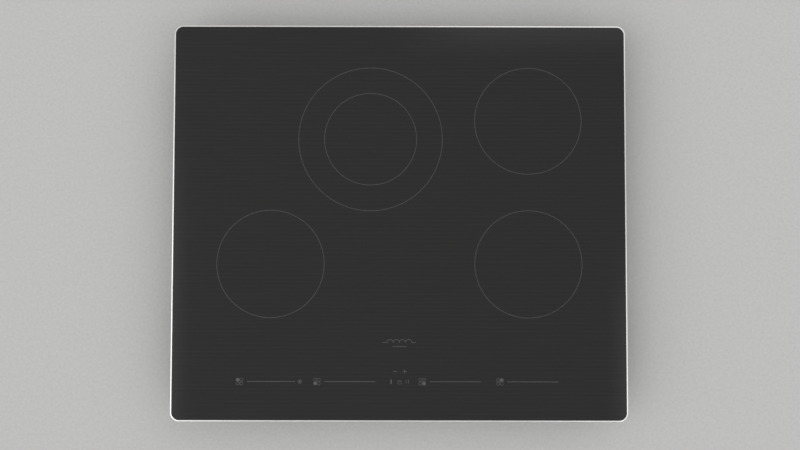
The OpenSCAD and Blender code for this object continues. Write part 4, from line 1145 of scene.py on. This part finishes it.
def gland():
    """The cable gland: a flange with grip flats, a threaded stem through the wall, a lock nut and a seal."""
    low, high = box_of("cable_gland")
    hub = middle((low, high))
    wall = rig.box("base_tray")[1].y / MM
    place = at(hub.x, wall, hub.z) @ turned(-90, "X")
    sides, bore_r, stem_r = 72, 6.4, 7.9
    out, inside = high.y - wall, low.y - wall
    grip = [polygon_loop(20, 12, z, sides, r) for z, r in (
        (0.0, 10.4), (0.25, 10.7), (0.7, 10.9), (out - 0.9, 10.9), (out - 0.45, 10.5), (out - 0.15, 9.9))]
    face = [circle(9.2, out, sides), circle(bore_r + 0.5, out, sides), circle(bore_r, out - 0.5, sides)]
    stem = thread(stem_r, stem_r - 0.5, -0.01, inside + 0.2, 1.5, sides)
    tip = [circle(bore_r, inside + 0.2, sides)]
    body = Shape().skin(list(reversed(stem)) + grip + face + tip, 0, place, closed=True)
    bevels = ((-5.0, 10.6), (-4.7, 11.4), (-1.3, 11.4), (-1.0, 10.6))
    nut = [polygon_loop(20, 6, z, sides, r) for z, r in bevels]
    hole = [circle(stem_r - 0.2, -1.0, sides), circle(stem_r - 0.2, -5.0, sides)]
    body.skin(nut + hole, 0, place, closed=True)
    profile = ((bore_r, inside + 1), (bore_r, out - 0.8), (bore_r - 0.35, out - 0.5), (5.7, out - 0.7),
               (5.5, out - 1.1), (5.5, inside + 1))
    seal = Shape().skin(lathe(profile, sides), 0, place, closed=True)
    stand_in("gland_body", body, "gland_nylon", "cable_gland")
    stand_in("gland_seal", seal, "sealant", "cable_gland")


# ---------- Board components ----------

# Looks of a component's two slots: its body and its metal
BODY, METAL = 0, 1


def leg(reach, height, width):
    """A chip's bent leg, pointing along +X from the body's side."""
    outline = [(-0.2, height), (0.3, height), (0.6, 0.15), (reach, 0.15), (reach, 0), (0.5, 0),
               (0.2, height - 0.15), (-0.2, height - 0.15)]
    return [[(u, y, z) for u, z in outline] for y in (-width / 2, width / 2)]


def chip(width, depth, legs_x, legs_y, pitch=0.8):
    """A chip with legs on its X sides and its Y sides."""
    height = 1.5
    made = Shape().block(0, 0, 0.12, (width, depth, height), 0.12)
    made.skin(lathe([(0.4, 0), (0.4, 0.03)], 12), METAL, at(-width / 2 + 1, depth / 2 - 1, height + 0.1))
    for half, legs, turn in ((width / 2, legs_x, 0), (depth / 2, legs_y, 90)):
        for k in range(legs):
            offset = (k - (legs - 1) / 2) * pitch
            for side in (turn, turn + 180):
                made.skin(leg(1.1, height / 2 + 0.2, pitch * 0.45), METAL, turned(side) @ at(half, offset))
    return made


def electrolytic(radius, height):
    """A can in a shrunk sleeve, rolled in near its foot, with a bare scored top."""
    sleeve = [(0, 0), (radius - 0.7, 0), (radius, 0.5), (radius, 2.2), (radius - 0.5, 2.7),
              (radius - 0.5, 3.2), (radius, 3.7), (radius, height - 0.7), (radius - 0.25, height - 0.2),
              (radius - 0.8, height), (radius - 1.1, height - 0.25), (0, height - 0.25)]
    made = Shape().skin(lathe(sleeve, 32))
    top = Shape().skin(lathe([(0, -0.5), (radius - 1.15, -0.5), (radius - 1.15, -0.1), (0, -0.1)], 32))
    scored = carved(top, cross_cutter(-0.1, 0.25, radius * 1.3, 0.35))
    scored.slots = [METAL] * len(scored.faces)
    return made.copy_of(scored, at(0, 0, height))


def header():
    """A white connector shell, open at the top, with a row of square pins."""
    pins, pitch = 8, 2.5
    length, depth, height = pins * pitch + 2.4, 5.8, 7.0
    shell = Shape().block(0, 0, 0, (length, depth, height), 0.25)
    made = carved(shell, Shape().block(0, 0, 1.5, (length - 1.6, depth - 1.6, height), 0.1))
    for k in range(pins):
        made.block((k - (pins - 1) / 2) * pitch, 0, 0.5, (0.64, 0.64, 5.6), 0.08, METAL)
    return made


def relay():
    return Shape().block(0, 0, 0, (15, 19, 2), 0.3).block(0, 0, 2, (14.5, 18.5, 13.5), 0.6)


def transformer():
    """A small transformer: a wound bobbin between the halves of its core."""
    made = Shape().block(0, 0, 1, (11, 15, 10), 0.8)
    for side in (-1, 1):
        made.block(side * 6.5, 0, 0.5, (3, 13, 12), 0.3, METAL)
    for top in (0.5, 11.2):
        made.block(0, 0, top, (15, 6, 1.8), 0.3, METAL)
    return made


def small_part():
    """A surface-mounted resistor or capacitor, with its two tinned ends."""
    length, width, height = 2.0, 1.25, 0.6
    made = Shape().block(0, 0, 0, (length * 0.6, width, height), 0.06)
    for side in (-1, 1):
        made.block(side * length * 0.4, 0, 0, (length * 0.2 - 0.02, width, height), 0.06, METAL)
    return made


def fuse():
    """A ceramic fuse lying in its two clips."""
    tube_line = [(0, -6), (2.4, -6), (2.4, 6), (0, 6)]
    barrel = Shape().skin(lathe(tube_line, 24), BODY, at(0, 0, 4) @ turned(90, "Y"))
    for side in (-1, 1):
        barrel.skin(lathe([(0, 0), (2.4, 0), (2.65, 0.3), (2.65, 4.5), (2.3, 5), (0, 5)], 24), METAL,
                    at(side * 5.5, 0, 4) @ turned(side * 90, "Y"))
        barrel.block(side * 8, 0, 0, (3, 4, 2.2), 0.2, METAL)
    return barrel


def varistor():
    """A disc of coated ceramic on two wires."""
    disc = [(0, -2), (5, -2), (6, -1.4), (6.5, 0), (6, 1.4), (5, 2), (0, 2)]
    made = Shape().skin(lathe(disc, 28), BODY, at(0, 0, 8.6) @ turned(90, "X"))
    for side in (-1, 1):
        made.skin(lathe([(0.4, 0), (0.4, 4)], 10), METAL, at(side * 2.5, 0, 0))
    return made


# Look of each kind of component's body. Its metal is tin, or the ferrite of a transformer's core
KINDS = {"chips": "component_black", "cans": "component_black", "headers": "spacer_nylon",
         "relays": "capacitor_case", "transformers": "terminal_brass", "small_parts": "component_black",
         "fuse": "sensor_plastic", "varistor": "capacitor_case"}


def components():
    """What else stands on the boards, in one piece for each kind. Places are from the middle of a board."""
    kinds = {kind: Shape() for kind in KINDS}
    driver, processor = chip(4, 5, 4, 0, 1.27), chip(12, 12, 12, 12)
    resistor, connector = small_part(), header()
    cans = [(electrolytic(6.2, 20), 42, 48), (electrolytic(5, 16), 56, 48), (electrolytic(4, 12), 68, 46)]
    relay_one, transformer_one = relay(), transformer()
    for node in ("power_board_left", "power_board_right"):
        board = middle(box_of(node))
        side = copysign(1, board.x)

        def stand(kind, shape, x, y, turn=0):
            kinds[kind].copy_of(shape, at(board.x + side * x, board.y + y, BOARD_TOP) @ turned(turn))

        for k in range(4):
            y = 52 - 24 * k
            stand("chips", driver, -38, y)
            for dx, dy in ((-7, 3), (-7, 0), (-7, -3), (7, 4), (7, 0), (7, -4), (0, 7), (0, 9.5)):
                stand("small_parts", resistor, -38 + dx, y + dy, 90 if abs(dx) == 7 and dy else 0)
        stand("chips", processor, 56, 85)
        for k in range(6):
            stand("small_parts", resistor, 46 + 4 * k, 71, 90)
            stand("small_parts", resistor, 46 + 4 * k, 99, 90)
        stand("headers", connector, 75, 85, 90)
        for can, x, y in cans:
            stand("cans", can, x, y)
        stand("relays", relay_one, 53, -105)
        stand("transformers", transformer_one, 56, 24)
    mains = middle(box_of("mains_filter_board"))
    kinds["fuse"].copy_of(fuse(), at(mains.x - 2, mains.y - 26, BOARD_TOP))
    kinds["varistor"].copy_of(varistor(), at(mains.x + 43, mains.y - 16, BOARD_TOP))
    touch = box_of("touch_board")
    for k in (-1, 0, 1):
        kinds["chips"].copy_of(chip(8, 6, 6, 0), at(120 * k, touch[0].y + 6, touch[1].z))
    cable = box_of("ribbon_cable")
    socket = carved(Shape().block(0, 0, 0, (21, 6, 6.5), 0.3), Shape().block(0, 0, 1, (17, 1.6, 9)))
    kinds["headers"].copy_of(socket, at(middle(cable).x, cable[1].y - 0.5, BOARD_TOP))
    for kind, body in KINDS.items():
        metal = "ferrite" if kind == "transformers" else "tin"
        made = piece("board_" + kind, kinds[kind], [body, metal])
        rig.slot(made, metal if kind == "transformers" else body)


# ---------- Assembly ----------


def electronics():
    for name, ends in WINDINGS.items():
        litz_winding(name, *ends)
    springs("wound_coil_springs", "coil_springs", "spring_steel", 0.5, 3, 20, 8)
    springs("wound_touch_springs", "touch_springs", "spring_brass", 0.25, 6, 14, 6)
    wiring()
    ribbon()
    chokes()
    components()


electronics()
screws()
gland()
# Rounding of the other nodes' edges, where it isn't 0.2 mm
EDGES = {
    "coil_plate": 0.1, "ferrite_bars": 0.3, "mica_sheets": 0.05, "heatsink_left": 0.12,
    "heatsink_right": 0.12, "film_capacitors": 0.7, "fan_scrolls": 0.25, "fan_covers": 0.3,
    "fan_impeller_left": 0.12, "fan_impeller_right": 0.12, "power_board_left": 0.1, "power_board_right": 0.1,
    "mains_filter_board": 0.1, "touch_board": 0.1, "terminal_block": 0.35, "led_displays": 0.15,
    "power_transistors": 0.15,
}
REPLACED = {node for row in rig.table()["pieces"] for node in row.get("replaces", [])}
for name in frame["nodes"]:
    if name not in REPLACED and not frame["nodes"][name].modifiers:
        dress(name, EDGES.get(name, 0.2))

size = {"cad": [list(cad_low), list(cad_high)], "visual": [list(corner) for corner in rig.bounds()]}
with open("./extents.json", "w") as out:
    json.dump(size, out)
